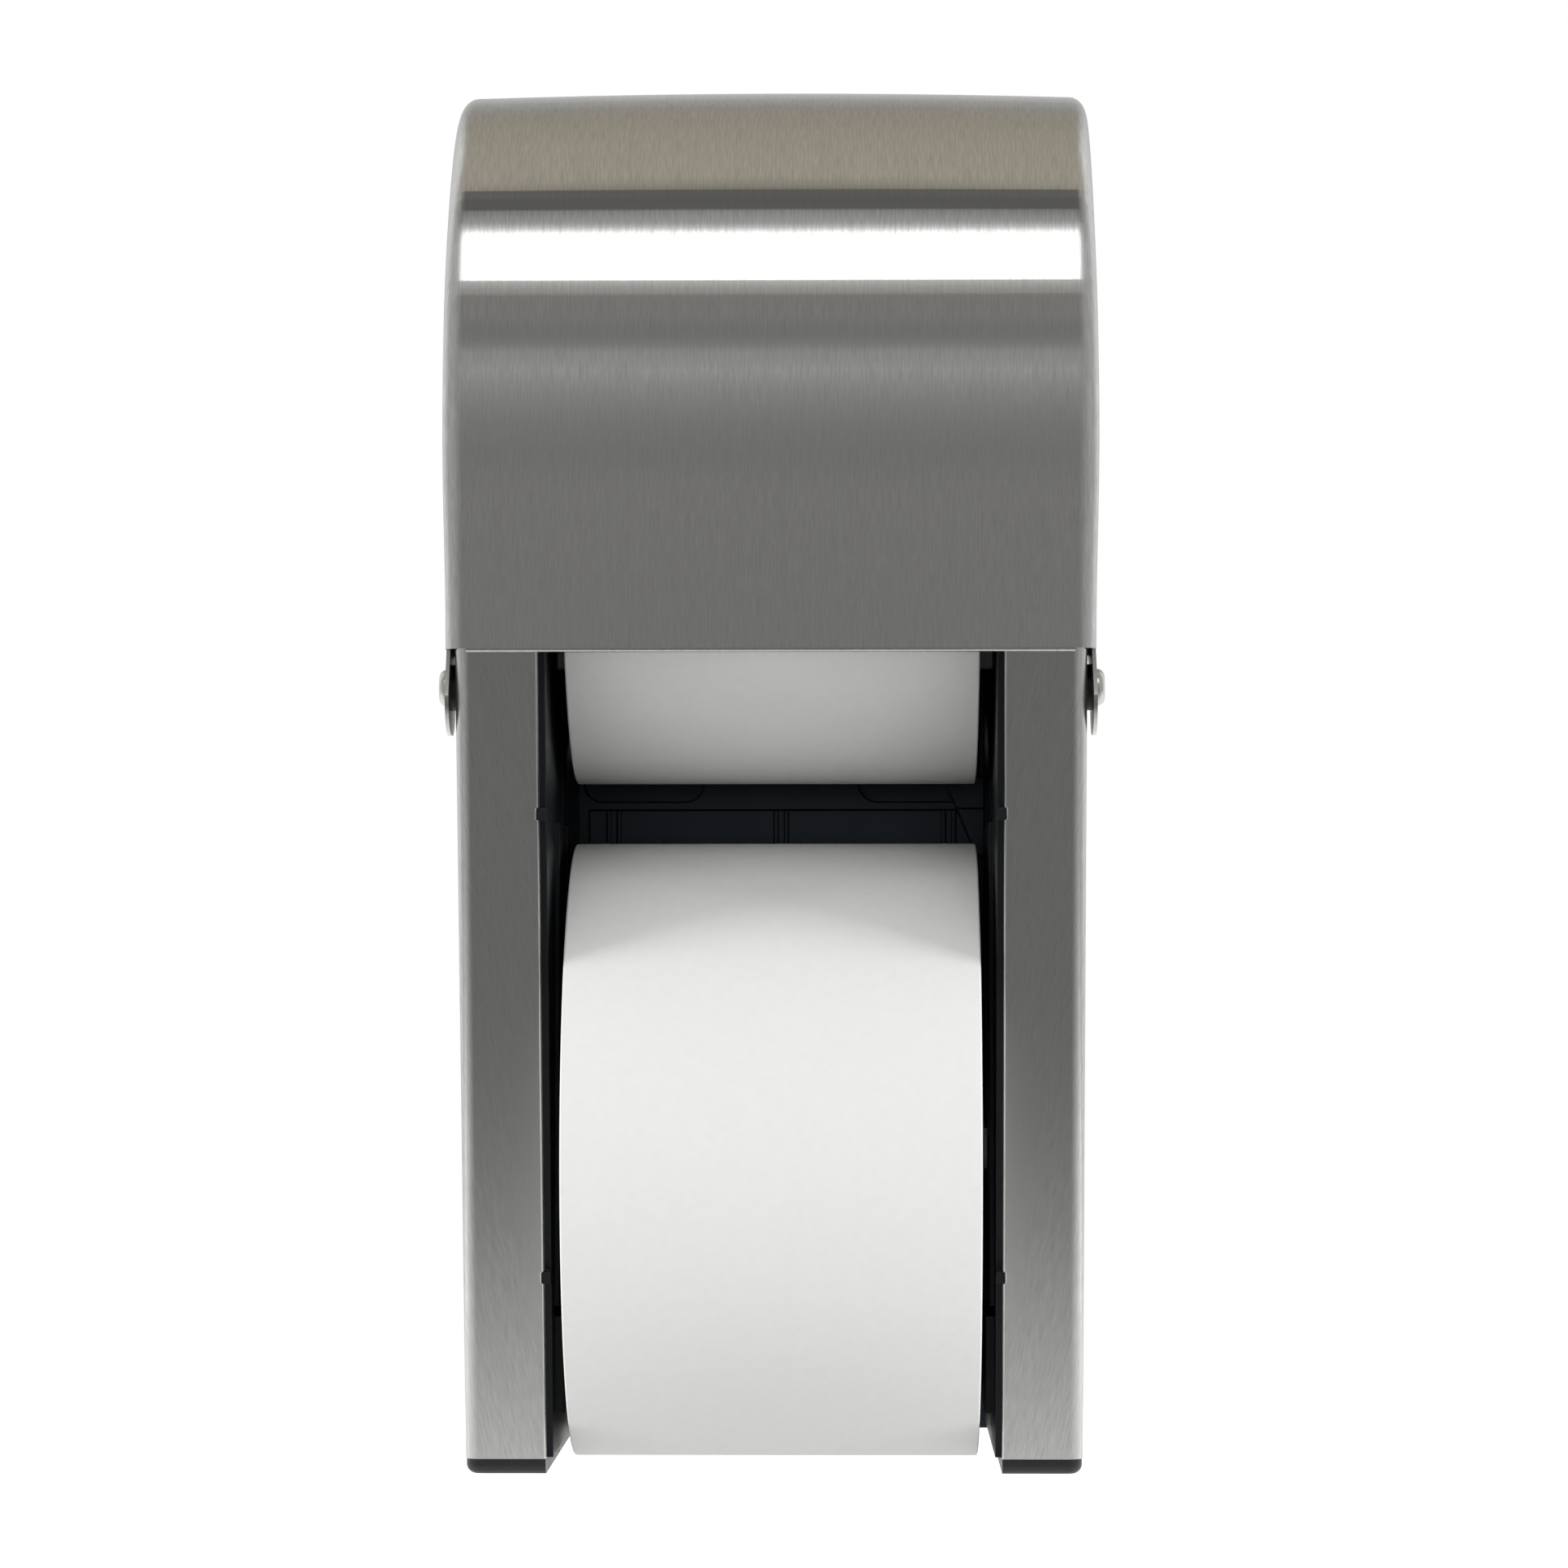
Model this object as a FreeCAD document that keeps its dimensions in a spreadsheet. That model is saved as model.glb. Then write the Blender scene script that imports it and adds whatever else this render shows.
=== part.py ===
import FreeCAD, Part
import Sketcher
import math
import os
import re

# Two-roll toilet paper dispenser: a steel hood pivots on a moulded frame that carries two coreless rolls.
# Heights are measured from the foot caps and depths from the wall; every piece is then lowered so that
# the origin is the middle of the four wall screws, on the wall. +Z is up and the front faces -Y.

SIZES = {
    # Fits shared by the pieces
    "overrun": 2.0,
    "seat_gap": 0.1,
    "run_clear": 0.05,
    "free_gap": 0.3,
    # Rolls, which set the size of everything around them
    "roll_diameter": 152.0,
    "roll_width": 99.5,
    "roll_hole": 18.4,
    "roll_edge": 1.2,
    "roll_foot_gap": 1.4,
    "roll_stack_gap": 15.0,
    "roll_back_gap": 0.8,
    "roll_side_gap": 3.85,
    "roll_axis_depth": "=back_depth + panel_rise + rib_rise + roll_back_gap + roll_diameter / 2",
    "lower_axis": "=roll_diameter / 2 + roll_foot_gap",
    "upper_axis": "=lower_axis + roll_diameter + roll_stack_gap",
    # Wall screws, whose middle is the origin
    "screw_drop": 1.9,
    "screw_row_inset": 32.0,
    "screw_column_inset": 17.1,
    "wall_screw_hole": 5.5,
    "screw_middle_height": "=upper_axis - screw_drop",
    "screw_row_spacing": "=roll_diameter - screw_row_inset",
    "screw_column_spacing": "=2 * (frame_inner - screw_column_inset)",
    # Hood of brushed stainless sheet
    "hood_sheet": 0.9,
    "hood_front_gap": 3.6,
    "hood_head_gap": 15.7,
    "hood_ear_gap": 1.55,
    "hood_wall_gap": 2.0,
    "hood_bend_share": 0.408,
    "hood_cover_share": 0.315,
    "hood_edge_round": 4.8,
    "hood_width": "=2 * (rail_outer + hood_ear_gap + hood_sheet)",
    "hood_depth": "=roll_axis_depth + roll_diameter / 2 + hood_front_gap + hood_sheet",
    "hood_height": "=upper_axis + roll_diameter / 2 + hood_head_gap + hood_sheet",
    "hood_bend": "=roll_diameter * hood_bend_share",
    "hood_edge_height": "=upper_axis - roll_diameter * hood_cover_share",
    "hem_height": 5.0,
    "hem_end": 5.6,
    "ear_radius": 11.3,
    "ear_corner": 9.5,
    # Pivots of the hood
    "pivot_drop": 7.4,
    "pivot_setback": 19.0,
    "pivot_height": "=hood_edge_height - pivot_drop",
    "pivot_depth": "=hood_depth - pivot_setback",
    "pivot_shoulder": 6.0,
    "pivot_shank": 5.0,
    "pivot_shank_length": 12.0,
    "pivot_head": 8.8,
    "pivot_head_rise": 2.0,
    "pivot_head_round": 1.8,
    "bush_diameter": 11.0,
    "pivot_boss": 14.0,
    # Rail covers of brushed stainless sheet, leaning back towards the foot
    "rail_face": 19.55,
    "rail_sheet": 0.9,
    "rail_low": 3.7,
    "rail_tuck": 3.5,
    "rail_front_gap": 3.8,
    "rail_lean_share": 0.1946,
    "rail_flange": 31.0,
    "rail_round": 3.6,
    "rail_inner_round": 1.2,
    "rail_lip": 5.0,
    "rail_outer": "=frame_inner + frame_breadth",
    "rail_top": "=hood_edge_height + rail_tuck",
    "rail_front_high": "=hood_depth - rail_front_gap",
    "rail_front_low": "=rail_front_high - rail_lean_share * (rail_top - rail_low)",
    "rail_flange_rear": "=rail_front_low - rail_flange",
    "notch_share": 0.2175,
    "notch_height": 3.0,
    "notch_depth": 0.8,
    "notch_low_height": "=rail_low + notch_share * (rail_top - rail_low)",
    "notch_high_height": "=rail_top - notch_share * (rail_top - rail_low)",
    # Moulded side frames
    "frame_breadth": 21.15,
    "frame_wall": 2.0,
    "frame_head_gap": 7.0,
    "frame_shoulder_setback": 40.0,
    "frame_shoulder_drop": 8.4,
    "frame_crown_setback": 50.0,
    "frame_crown_round": 18.0,
    "frame_inner": "=roll_width / 2 + roll_side_gap",
    "frame_top": "=hood_height - frame_head_gap",
    "frame_shoulder_depth": "=hood_depth - frame_shoulder_setback",
    "frame_shoulder_height": "=upper_axis - frame_shoulder_drop",
    "frame_crown_depth": "=hood_depth - frame_crown_setback",
    "track_pad_rise": 1.2,
    "track_half_share": 0.2,
    "track_low_share": 0.245,
    "track_top_share": 0.53,
    "track_pad_front": "=roll_axis_depth + roll_diameter * track_half_share",
    "track_pad_rear": "=roll_axis_depth - roll_diameter * track_half_share",
    "track_pad_low": "=lower_axis - roll_diameter * track_low_share",
    "track_pad_top": "=lower_axis + roll_diameter * track_top_share",
    "foot_pad_rise": 2.2,
    "foot_pad_low": 14.0,
    "foot_pad_height": 23.5,
    "foot_pad_rear": 20.0,
    "foot_pad_setback": 9.0,
    "anchor_depth": 16.0,
    "anchor_height": 10.0,
    "anchor_inset": 24.0,
    "anchor_pitch": "=(frame_top - rail_low - 2 * anchor_inset) / 3",
    # Foot caps
    "foot_round": 2.4,
    "foot_inset": 0.2,
    "spigot_height": 8.0,
    "spigot_wall": 1.6,
    "foot_block": 12.0,
    "foot_screw_depth": "=rail_front_low / 2",
    # Back frame
    "back_inset": 1.15,
    "back_low": 1.0,
    "back_depth": 9.5,
    "back_wall": 2.4,
    "back_corner": 4.0,
    "back_width": "=2 * (rail_outer - back_inset)",
    "pocket_width": 32.0,
    "pocket_height": 32.0,
    "pocket_round": 5.0,
    "pocket_wall": 2.0,
    "pocket_floor": 3.0,
    "panel_rise": 0.6,
    "panel_inset": 2.6,
    "panel_low": 12.0,
    "panel_gap": 2.2,
    "panel_width": "=2 * (frame_inner - panel_inset)",
    "panel_top": "=screw_middle_height - screw_row_spacing / 2 - pocket_height / 2 - panel_gap",
    "rib_width": 1.1,
    "rib_gap": 1.6,
    "rib_rise": 0.6,
    "rib_pitch_share": 0.435,
    "rib_pitch": "=panel_width * rib_pitch_share",
    "gusset_rise": 8.2,
    "gusset_drop": 12.3,
    "gusset_reach": 10.6,
    "gusset_waist": 7.1,
    "gusset_foot": 2.0,
    "gusset_depth": 12.0,
    "gusset_step": 1.0,
    # Lock striker
    "striker_width": 26.0,
    "striker_sheet": 2.0,
    "striker_bend": 3.0,
    "striker_gap": 2.0,
    "striker_head_gap": 4.0,
    "striker_reach": "=lock_depth - back_depth - barrel_diameter / 2 - striker_gap",
    "striker_leg": "=barrel_length - striker_head_gap",
    "striker_rivet": 3.2,
    "striker_rivet_head": 6.0,
    "striker_rivet_rise": 1.2,
    "striker_rivet_pitch": 14.0,
    "striker_rivet_share": 0.6,
    # Roll hubs
    "plug_length": 28.0,
    "plug_base": 18.0,
    "plug_tip": 14.0,
    "flange_diameter": 32.0,
    "flange_thickness": 1.7,
    "journal_diameter": 10.0,
    "hub_head": 15.0,
    "hub_head_gap": 0.4,
    "hub_head_thickness": 3.8,
    "hub_round": 0.6,
    "journal_end": "=frame_inner + frame_wall + hub_head_gap",
    # Drop catches that carry the reserve roll
    "catch_arm_share": 0.3,
    "catch_pin_inset": 9.4,
    "catch_bar_inset": 7.4,
    "catch_pin_diameter": 3.0,
    "catch_hub": 5.6,
    "catch_bar_thickness": 2.2,
    "catch_half_width": 4.5,
    "catch_pin_height": "=upper_axis + roll_diameter * catch_arm_share",
    "catch_pin_side": "=frame_inner + catch_pin_inset",
    "catch_bar_side": "=frame_inner + catch_bar_inset",
    "ledge_inset": 2.7,
    "ledge_height": 5.0,
    "ledge_tip": "=frame_inner + ledge_inset",
    "tab_reach": 2.9,
    "tab_height": 11.5,
    "tab_setback": 14.0,
    "tab_half_width": 4.0,
    "tab_margin": 1.5,
    "tab_tip": "=frame_inner - tab_reach",
    "tab_low": "=hood_edge_height",
    "tab_depth": "=roll_axis_depth + tab_setback",
    "elbow_drop": 18.4,
    "elbow_height": "=upper_axis - elbow_drop",
    "lug_thickness": 2.0,
    "lug_height": 12.0,
    "lug_reach": 12.0,
    "lug_spread": 9.0,
    "spring_wire": 0.6,
    "spring_radius": 2.4,
    "spring_length": 3.0,
    "spring_pitch": 0.75,
    # Key lock in the hood's top
    "lock_depth": 34.0,
    "barrel_diameter": 16.0,
    "barrel_wall": 2.5,
    "barrel_flange": 2.0,
    "barrel_head_rise": 1.4,
    "barrel_length": 17.0,
    "barrel_head": "=barrel_diameter + 2 * barrel_flange",
    "lock_plug": "=barrel_diameter - 2 * barrel_wall",
    "key_slot_width": 1.4,
    "key_slot_length": 7.0,
    "key_slot_depth": 3.0,
    "nut_wall": 4.0,
    "lock_nut": "=barrel_diameter + 2 * nut_wall",
    "lock_nut_thickness": 4.0,
    "cam_thickness": 2.0,
    "cam_width": 11.0,
    "cam_gap": 2.5,
    "cam_reach": "=lock_depth - back_depth - cam_gap",
    "cam_round": 3.6,
    "cam_screw_shank": 4.0,
    "cam_screw_length": 6.0,
    "cam_screw_head": 7.0,
    "cam_screw_head_rise": 2.4,
    # Tapping screws
    "tap_shank": 3.4,
    "tap_length": 13.0,
    "tap_head": 6.8,
    "tap_head_rise": 2.2,
    "tap_point": 2.5,
}

# Recurring derived sizes, written once
RAIL_INNER = "(rail_outer - rail_face)"
FRAME_OUTER = "(rail_outer - rail_sheet - seat_gap)"
FRAME_INSET = "(rail_sheet + seat_gap)"
HOLLOW_SIDE = "(frame_inner + frame_wall)"
HOLLOW_WIDTH = f"({FRAME_OUTER} - frame_inner - 2 * frame_wall)"
LIP_SIDE = f"({RAIL_INNER} + {FRAME_INSET})"
LIP_INSET = "(rail_lip + seat_gap + frame_wall)"
HOOD_INSIDE = "(hood_width / 2 - hood_sheet)"
LOWER_SCREW_ROW = "(screw_middle_height - screw_row_spacing / 2)"
UPPER_SCREW_ROW = "(screw_middle_height + screw_row_spacing / 2)"
SLOT_HALF = "(journal_diameter / 2 + free_gap)"
BARREL_LOW = "(hood_height - barrel_length)"
CAM_TOP = f"({BARREL_LOW} - seat_gap)"
STRIKER_LOW = f"({CAM_TOP} + free_gap)"
STRIKER_TOP = f"({STRIKER_LOW} + striker_leg)"
STRIKER_BACK = "(-back_depth - seat_gap)"
STRIKER_FACE = f"({STRIKER_BACK} - striker_sheet)"
RIVET_HEIGHT = f"({STRIKER_LOW} + striker_leg * striker_rivet_share)"
RIVET_GRIP = "(back_wall + striker_sheet + 3 * seat_gap)"
LEDGE_TOP = "(upper_axis - hub_head / 2 - free_gap)"
ANCHOR_SIDE = f"({HOLLOW_SIDE} + {HOLLOW_WIDTH} / 2)"
ANCHOR_HEIGHTS = [f"(rail_low + anchor_inset + {step} * anchor_pitch)" for step in range(4)]
HEX_CORNER_SHARE = 1 / math.cos(math.pi / 6)
TOUCH_SHARE = 1e-4

doc = FreeCAD.newDocument("dispenser")
dims = doc.addObject("Spreadsheet::Sheet", "dims")
for row, size_name in enumerate(SIZES, start=1):
    dims.set(f"A{row}", size_name)
    dims.setAlias(f"B{row}", size_name)
for row, size_value in enumerate(SIZES.values(), start=1):
    dims.set(f"B{row}", str(size_value))
doc.recompute()
nodes = []


def sized(text):
    """Points every size name in a formula at its spreadsheet cell."""
    return re.sub(r"[a-z]\w*", lambda word: "dims." + word.group(), text)


def number(text):
    return float(dims.evalExpression(sized(text)))


def bind(item, **formulas):
    for prop, formula in formulas.items():
        item.setExpression(prop.replace("__", "."), sized(formula))
    return item


def place(item, x="0", y="0", z="0"):
    return bind(item, Placement__Base__x=x, Placement__Base__y=y, Placement__Base__z=z)


def node(item, name, x="0", y="0", z="0"):
    """Names a finished piece and lowers it into the object's own frame."""
    item.Label = name
    place(item, x, y, f"{z} - screw_middle_height")
    nodes.append(item)
    return item


def mirrored(item, name):
    """The left-hand copy of a right-hand piece."""
    twin = doc.addObject("Part::Mirroring", name)
    twin.Source = item
    twin.Normal = FreeCAD.Vector(1, 0, 0)
    twin.Label = name
    nodes.append(twin)
    return twin


def new_body(name):
    return doc.addObject("PartDesign::Body", name)


def new_sketch(body, role, lift="0"):
    sketch = body.newObject("Sketcher::SketchObject", f"{body.Name}_sketch")
    plane = next(item for item in body.Origin.OriginFeatures if item.Role == role)
    sketch.AttachmentSupport = (plane, "")
    sketch.MapMode = "FlatFace"
    return bind(sketch, AttachmentOffset__Base__z=lift)


def fix(sketch, kind, first, first_end, second, second_end, formula):
    """Holds a distance in a sketch to a formula."""
    index = sketch.addConstraint(
        Sketcher.Constraint(kind, first, first_end, second, second_end, number(formula)))
    sketch.setExpression(f"Constraints[{index}]", sized(formula))


def outline(body, role, corners, lift="0"):
    """A closed sketch through its corners; a third formula in a corner is the radius that rounds it."""
    sketch = new_sketch(body, role, lift)
    spots = [FreeCAD.Vector(number(corner[0]), number(corner[1]), 0) for corner in corners]
    arrivals, departures = [], []
    for index, corner in enumerate(corners):
        back = (spots[index - 1] - spots[index]).normalize()
        onward = (spots[(index + 1) % len(spots)] - spots[index]).normalize()
        cut = 0
        if len(corner) == 3:
            cut = number(corner[2]) / math.tan(back.getAngle(onward) / 2)
        arrivals.append(spots[index] + back * cut)
        departures.append(spots[index] + onward * cut)
    sides = []
    for index in range(len(corners)):
        side = Part.LineSegment(departures[index], arrivals[(index + 1) % len(corners)])
        sides.append(sketch.addGeometry(side, False))
    for index, corner in enumerate(corners):
        before, after = sides[index - 1], sides[index]
        if len(corner) == 2:
            sketch.addConstraint(Sketcher.Constraint("Coincident", before, 2, after, 1))
            held, held_end = after, 1
        else:
            held, held_end = round_corner(sketch, corner, spots[index], arrivals[index], departures[index],
                                          before, after)
        fix(sketch, "DistanceX", -1, 1, held, held_end, corner[0])
        fix(sketch, "DistanceY", -1, 1, held, held_end, corner[1])
    return sketch


def round_corner(sketch, corner, spot, arrive, leave, before, after):
    """Adds the arc of a rounded corner and returns the point where its two sides would meet."""
    radius = number(corner[2])
    towards = ((arrive + leave) / 2 - spot).normalize()
    half_turn = (arrive - spot).getAngle(leave - spot) / 2
    centre = spot + towards * (radius / math.sin(half_turn))
    turns_left = (spot - arrive).cross(leave - spot).z > 0
    first, last = (arrive, leave) if turns_left else (leave, arrive)
    angles = [math.atan2(point.y - centre.y, point.x - centre.x) for point in (first, last)]
    if angles[1] < angles[0]:
        angles[1] += 2 * math.pi
    circle = Part.Circle(centre, FreeCAD.Vector(0, 0, 1), radius)
    arc = sketch.addGeometry(Part.ArcOfCircle(circle, *angles), False)
    meeting = sketch.addGeometry(Part.Point(spot), True)
    arrive_end, leave_end = (1, 2) if turns_left else (2, 1)
    sketch.addConstraint(Sketcher.Constraint("Tangent", before, 2, arc, arrive_end))
    sketch.addConstraint(Sketcher.Constraint("Tangent", arc, leave_end, after, 1))
    index = sketch.addConstraint(Sketcher.Constraint("Radius", arc, radius))
    sketch.setExpression(f"Constraints[{index}]", sized(corner[2]))
    sketch.addConstraint(Sketcher.Constraint("PointOnObject", meeting, 1, before))
    sketch.addConstraint(Sketcher.Constraint("PointOnObject", meeting, 1, after))
    return meeting, 1


def ring(body, role, x, y, radius, lift="0"):
    """A sketch of one circle."""
    sketch = new_sketch(body, role, lift)
    spot = FreeCAD.Vector(number(x), number(y), 0)
    circle = sketch.addGeometry(Part.Circle(spot, FreeCAD.Vector(0, 0, 1), number(radius)), False)
    index = sketch.addConstraint(Sketcher.Constraint("Radius", circle, number(radius)))
    sketch.setExpression(f"Constraints[{index}]", sized(radius))
    fix(sketch, "DistanceX", -1, 1, circle, 3, x)
    fix(sketch, "DistanceY", -1, 1, circle, 3, y)
    return sketch


def oblong(left, low, right, top, radius=None):
    """The corners of an upright rectangle, sharp or all rounded alike."""
    corners = [(left, low), (right, low), (right, top), (left, top)]
    return [corner + (radius,) for corner in corners] if radius else corners


def pad(body, sketch, length):
    feature = body.newObject("PartDesign::Pad", f"{body.Name}_pad")
    feature.Profile = sketch
    return bind(feature, Length=length)


def pocket(body, sketch, length):
    """Cuts along the sketch's own normal and checks that something was cut."""
    doc.recompute()
    before = body.Shape.Volume
    feature = body.newObject("PartDesign::Pocket", f"{body.Name}_pocket")
    feature.Profile = sketch
    feature.Reversed = True
    bind(feature, Length=length)
    doc.recompute()
    if not feature.Shape.Volume < before:
        raise RuntimeError(f"a pocket of {body.Name} cuts nothing")
    return feature


def turned(body, corners, role="XY_Plane", axis="H_Axis"):
    """A turned piece: its half section revolved about a sketch axis."""
    feature = body.newObject("PartDesign::Revolution", f"{body.Name}_turn")
    sketch = outline(body, role, corners)
    feature.Profile = sketch
    feature.ReferenceAxis = (sketch, [axis])
    feature.Angle = 360
    return body


def rounded(body, feature, radius, chosen):
    """Rounds the edges of a feature whose middle point passes a test."""
    doc.recompute()
    names = []
    for index, edge in enumerate(feature.Shape.Edges, start=1):
        middle = edge.valueAt((edge.FirstParameter + edge.LastParameter) / 2)
        if chosen(middle):
            names.append(f"Edge{index}")
    fillet = body.newObject("PartDesign::Fillet", f"{body.Name}_fillet")
    fillet.Base = (feature, names)
    return bind(fillet, Radius=radius)


def near(value, formula):
    return abs(value - number(formula)) < TOUCH_SHARE * number("hood_height")


def box(x, y, z, length, width, height):
    item = doc.addObject("Part::Box", "block")
    return place(bind(item, Length=length, Width=width, Height=height), x, y, z)


def rod(axis, x, y, z, radius, length):
    """A round bar that starts at a point and runs along +X, +Y or +Z."""
    item = doc.addObject("Part::Cylinder", "rod")
    turn = FreeCAD.Rotation(FreeCAD.Vector(0, 0, 1), FreeCAD.Vector(*[float(axis == name) for name in "xyz"]))
    item.Placement = FreeCAD.Placement(FreeCAD.Vector(), turn)
    return place(bind(item, Radius=radius, Height=length), x, y, z)


def joined(items):
    item = doc.addObject("Part::MultiFuse", "joined")
    item.Shapes = items
    return item


def cut(base, tools):
    item = doc.addObject("Part::Cut", "cut")
    item.Base = base
    item.Tool = tools[0] if len(tools) == 1 else joined(tools)
    return item


def grouped(items, name):
    """Like fasteners in one node, each its own solid."""
    item = doc.addObject("Part::Compound", name)
    item.Links = items
    return node(item, name)


def rail_front(height, inset="0"):
    """Depth of the rail's leaning front at a height, less an inset, as a coordinate."""
    return f"-(rail_front_low + rail_lean_share * ({height} - rail_low)) + {inset}"


# Back frame: a moulded tray on the wall, with screw pockets, ribs and a corner gusset

back = new_body("back_body")
BACK_TOP = "(hood_height - hood_sheet - free_gap)"
back_shell = outline(back, "XZ_Plane", oblong("-back_width / 2", "back_low", "back_width / 2", BACK_TOP,
                                              "back_corner"))
pad(back, back_shell, "back_depth")
back_hollow = outline(back, "XZ_Plane", oblong("-back_width / 2 + back_wall", "back_low + back_wall",
                                               "back_width / 2 - back_wall", f"{BACK_TOP} - back_wall"))
pocket(back, back_hollow, "back_depth - back_wall")
panel = outline(back, "XZ_Plane", oblong("-panel_width / 2", "panel_low", "panel_width / 2", "panel_top"),
                "back_depth")
pad(back, panel, "panel_rise")
for column in (-1, 0, 1):
    for line in (-1, 1):
        middle = f"({column} * rib_pitch + {line} * (rib_gap + rib_width) / 2)"
        rib = outline(back, "XZ_Plane", oblong(f"{middle} - rib_width / 2", "panel_low",
                                               f"{middle} + rib_width / 2", "panel_top"),
                      "back_depth + panel_rise")
        pad(back, rib, "rib_rise")
for column in (-1, 1):
    for screw_row in (LOWER_SCREW_ROW, UPPER_SCREW_ROW):
        across = f"{column} * screw_column_spacing / 2"
        tower = outline(back, "XZ_Plane", oblong(
            f"{across} - pocket_width / 2 - pocket_wall", f"{screw_row} - pocket_height / 2 - pocket_wall",
            f"{across} + pocket_width / 2 + pocket_wall", f"{screw_row} + pocket_height / 2 + pocket_wall",
            "pocket_round + pocket_wall"))
        pad(back, tower, "back_depth")
        recess = outline(back, "XZ_Plane", oblong(
            f"{across} - pocket_width / 2", f"{screw_row} - pocket_height / 2",
            f"{across} + pocket_width / 2", f"{screw_row} + pocket_height / 2",
            "pocket_round"), "pocket_floor")
        pocket(back, recess, "back_depth")
gusset_top = outline(back, "XZ_Plane", [
    ("frame_inner - gusset_reach", "panel_top + gusset_rise"), ("frame_inner - gusset_waist", "panel_top"),
    ("frame_inner - seat_gap", "panel_top"), ("frame_inner - seat_gap", "panel_top + gusset_rise")],
    "back_depth - back_wall")
pad(back, gusset_top, "gusset_depth + back_wall")
gusset_toe = outline(back, "XZ_Plane", [
    ("frame_inner - gusset_waist", "panel_top"), ("frame_inner - gusset_foot", "panel_top - gusset_drop"),
    ("frame_inner - seat_gap", "panel_top - gusset_drop"), ("frame_inner - seat_gap", "panel_top")],
    "back_depth - back_wall")
pad(back, gusset_toe, "gusset_depth + gusset_step + back_wall")
back_holes = []
for column in (-1, 1):
    for screw_row in (LOWER_SCREW_ROW, UPPER_SCREW_ROW):
        back_holes.append(rod("y", f"{column} * screw_column_spacing / 2", "-back_depth", screw_row,
                              "wall_screw_hole / 2", "back_depth + overrun"))
    for height in ANCHOR_HEIGHTS:
        back_holes.append(rod("y", f"{column} * {ANCHOR_SIDE}", "-back_depth - overrun", height,
                              "tap_shank / 2 + seat_gap", "back_wall + 2 * overrun"))
    back_holes.append(rod("y", f"{column} * striker_rivet_pitch / 2", "-back_depth - overrun", RIVET_HEIGHT,
                          "striker_rivet / 2", "back_wall + 2 * overrun"))
node(cut(back, back_holes), "back_frame")

# Lock striker: a bent steel tongue riveted to the back frame, under which the lock's cam turns

striker = new_body("striker_body")
pad(striker, outline(striker, "YZ_Plane", [
    ("-back_depth - striker_reach", STRIKER_LOW),
    (STRIKER_BACK, STRIKER_LOW, "striker_bend"),
    (STRIKER_BACK, STRIKER_TOP),
    (STRIKER_FACE, STRIKER_TOP),
    (STRIKER_FACE, f"{STRIKER_LOW} + striker_sheet", "striker_bend - striker_sheet"),
    ("-back_depth - striker_reach", f"{STRIKER_LOW} + striker_sheet")], "-striker_width / 2"),
    "striker_width")
striker_holes = []
striker_rivets = []
for column in (-1, 1):
    across = f"{column} * striker_rivet_pitch / 2"
    striker_holes.append(rod("y", across, f"{STRIKER_FACE} - overrun", RIVET_HEIGHT, "striker_rivet / 2",
                             "striker_sheet + 2 * overrun"))
    stem = turned(new_body("striker_rivet"), [
        ("0", "0"), ("striker_rivet_head / 2", "0", "striker_rivet_rise / 2"),
        ("striker_rivet_head / 2", "striker_rivet_rise"),
        ("striker_rivet / 2 - run_clear", "striker_rivet_rise"),
        ("striker_rivet / 2 - run_clear", f"striker_rivet_rise + {RIVET_GRIP}"),
        ("striker_rivet_head / 2", f"striker_rivet_rise + {RIVET_GRIP}"),
        ("striker_rivet_head / 2", f"2 * striker_rivet_rise + {RIVET_GRIP}", "striker_rivet_rise / 2"),
        ("0", f"2 * striker_rivet_rise + {RIVET_GRIP}")], "XZ_Plane", "V_Axis")
    stem.Placement = FreeCAD.Placement(FreeCAD.Vector(), FreeCAD.Rotation(FreeCAD.Vector(1, 0, 0), 90))
    place(stem, across, "-back_depth + back_wall + seat_gap + striker_rivet_rise", RIVET_HEIGHT)
    striker_rivets.append(stem)
node(cut(striker, striker_holes), "lock_striker")
grouped(striker_rivets, "striker_rivets")

# Side frames: moulded box uprights open to the back, with the slot that guides the roll hubs

side = new_body("side_body")
side_block = pad(side, outline(side, "YZ_Plane", [
    ("-back_depth", "rail_low"),
    (rail_front("rail_low", FRAME_INSET), "rail_low"),
    (rail_front("rail_top", FRAME_INSET), "rail_top"),
    ("-frame_shoulder_depth", "frame_shoulder_height"),
    ("-frame_crown_depth", "frame_top", "frame_crown_round"),
    ("-back_depth", "frame_top")], "frame_inner"), f"{FRAME_OUTER} - frame_inner")
rounded(side, side_block, "rail_round",
        lambda spot: near(spot.x, FRAME_OUTER) and spot.y < -number("rail_front_low")
        and spot.z < number("rail_top"))
pocket(side, outline(side, "YZ_Plane", [
    ("-back_depth + overrun", "rail_low - overrun"),
    (rail_front("(rail_low - overrun)", LIP_INSET), "rail_low - overrun"),
    (rail_front("(rail_top - frame_wall)", LIP_INSET), "rail_top - frame_wall"),
    ("-frame_shoulder_depth + frame_wall", "frame_shoulder_height"),
    ("-frame_crown_depth + frame_wall", "frame_top - frame_wall", "frame_crown_round - frame_wall"),
    ("-back_depth + overrun", "frame_top - frame_wall")], HOLLOW_SIDE), HOLLOW_WIDTH)
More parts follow.
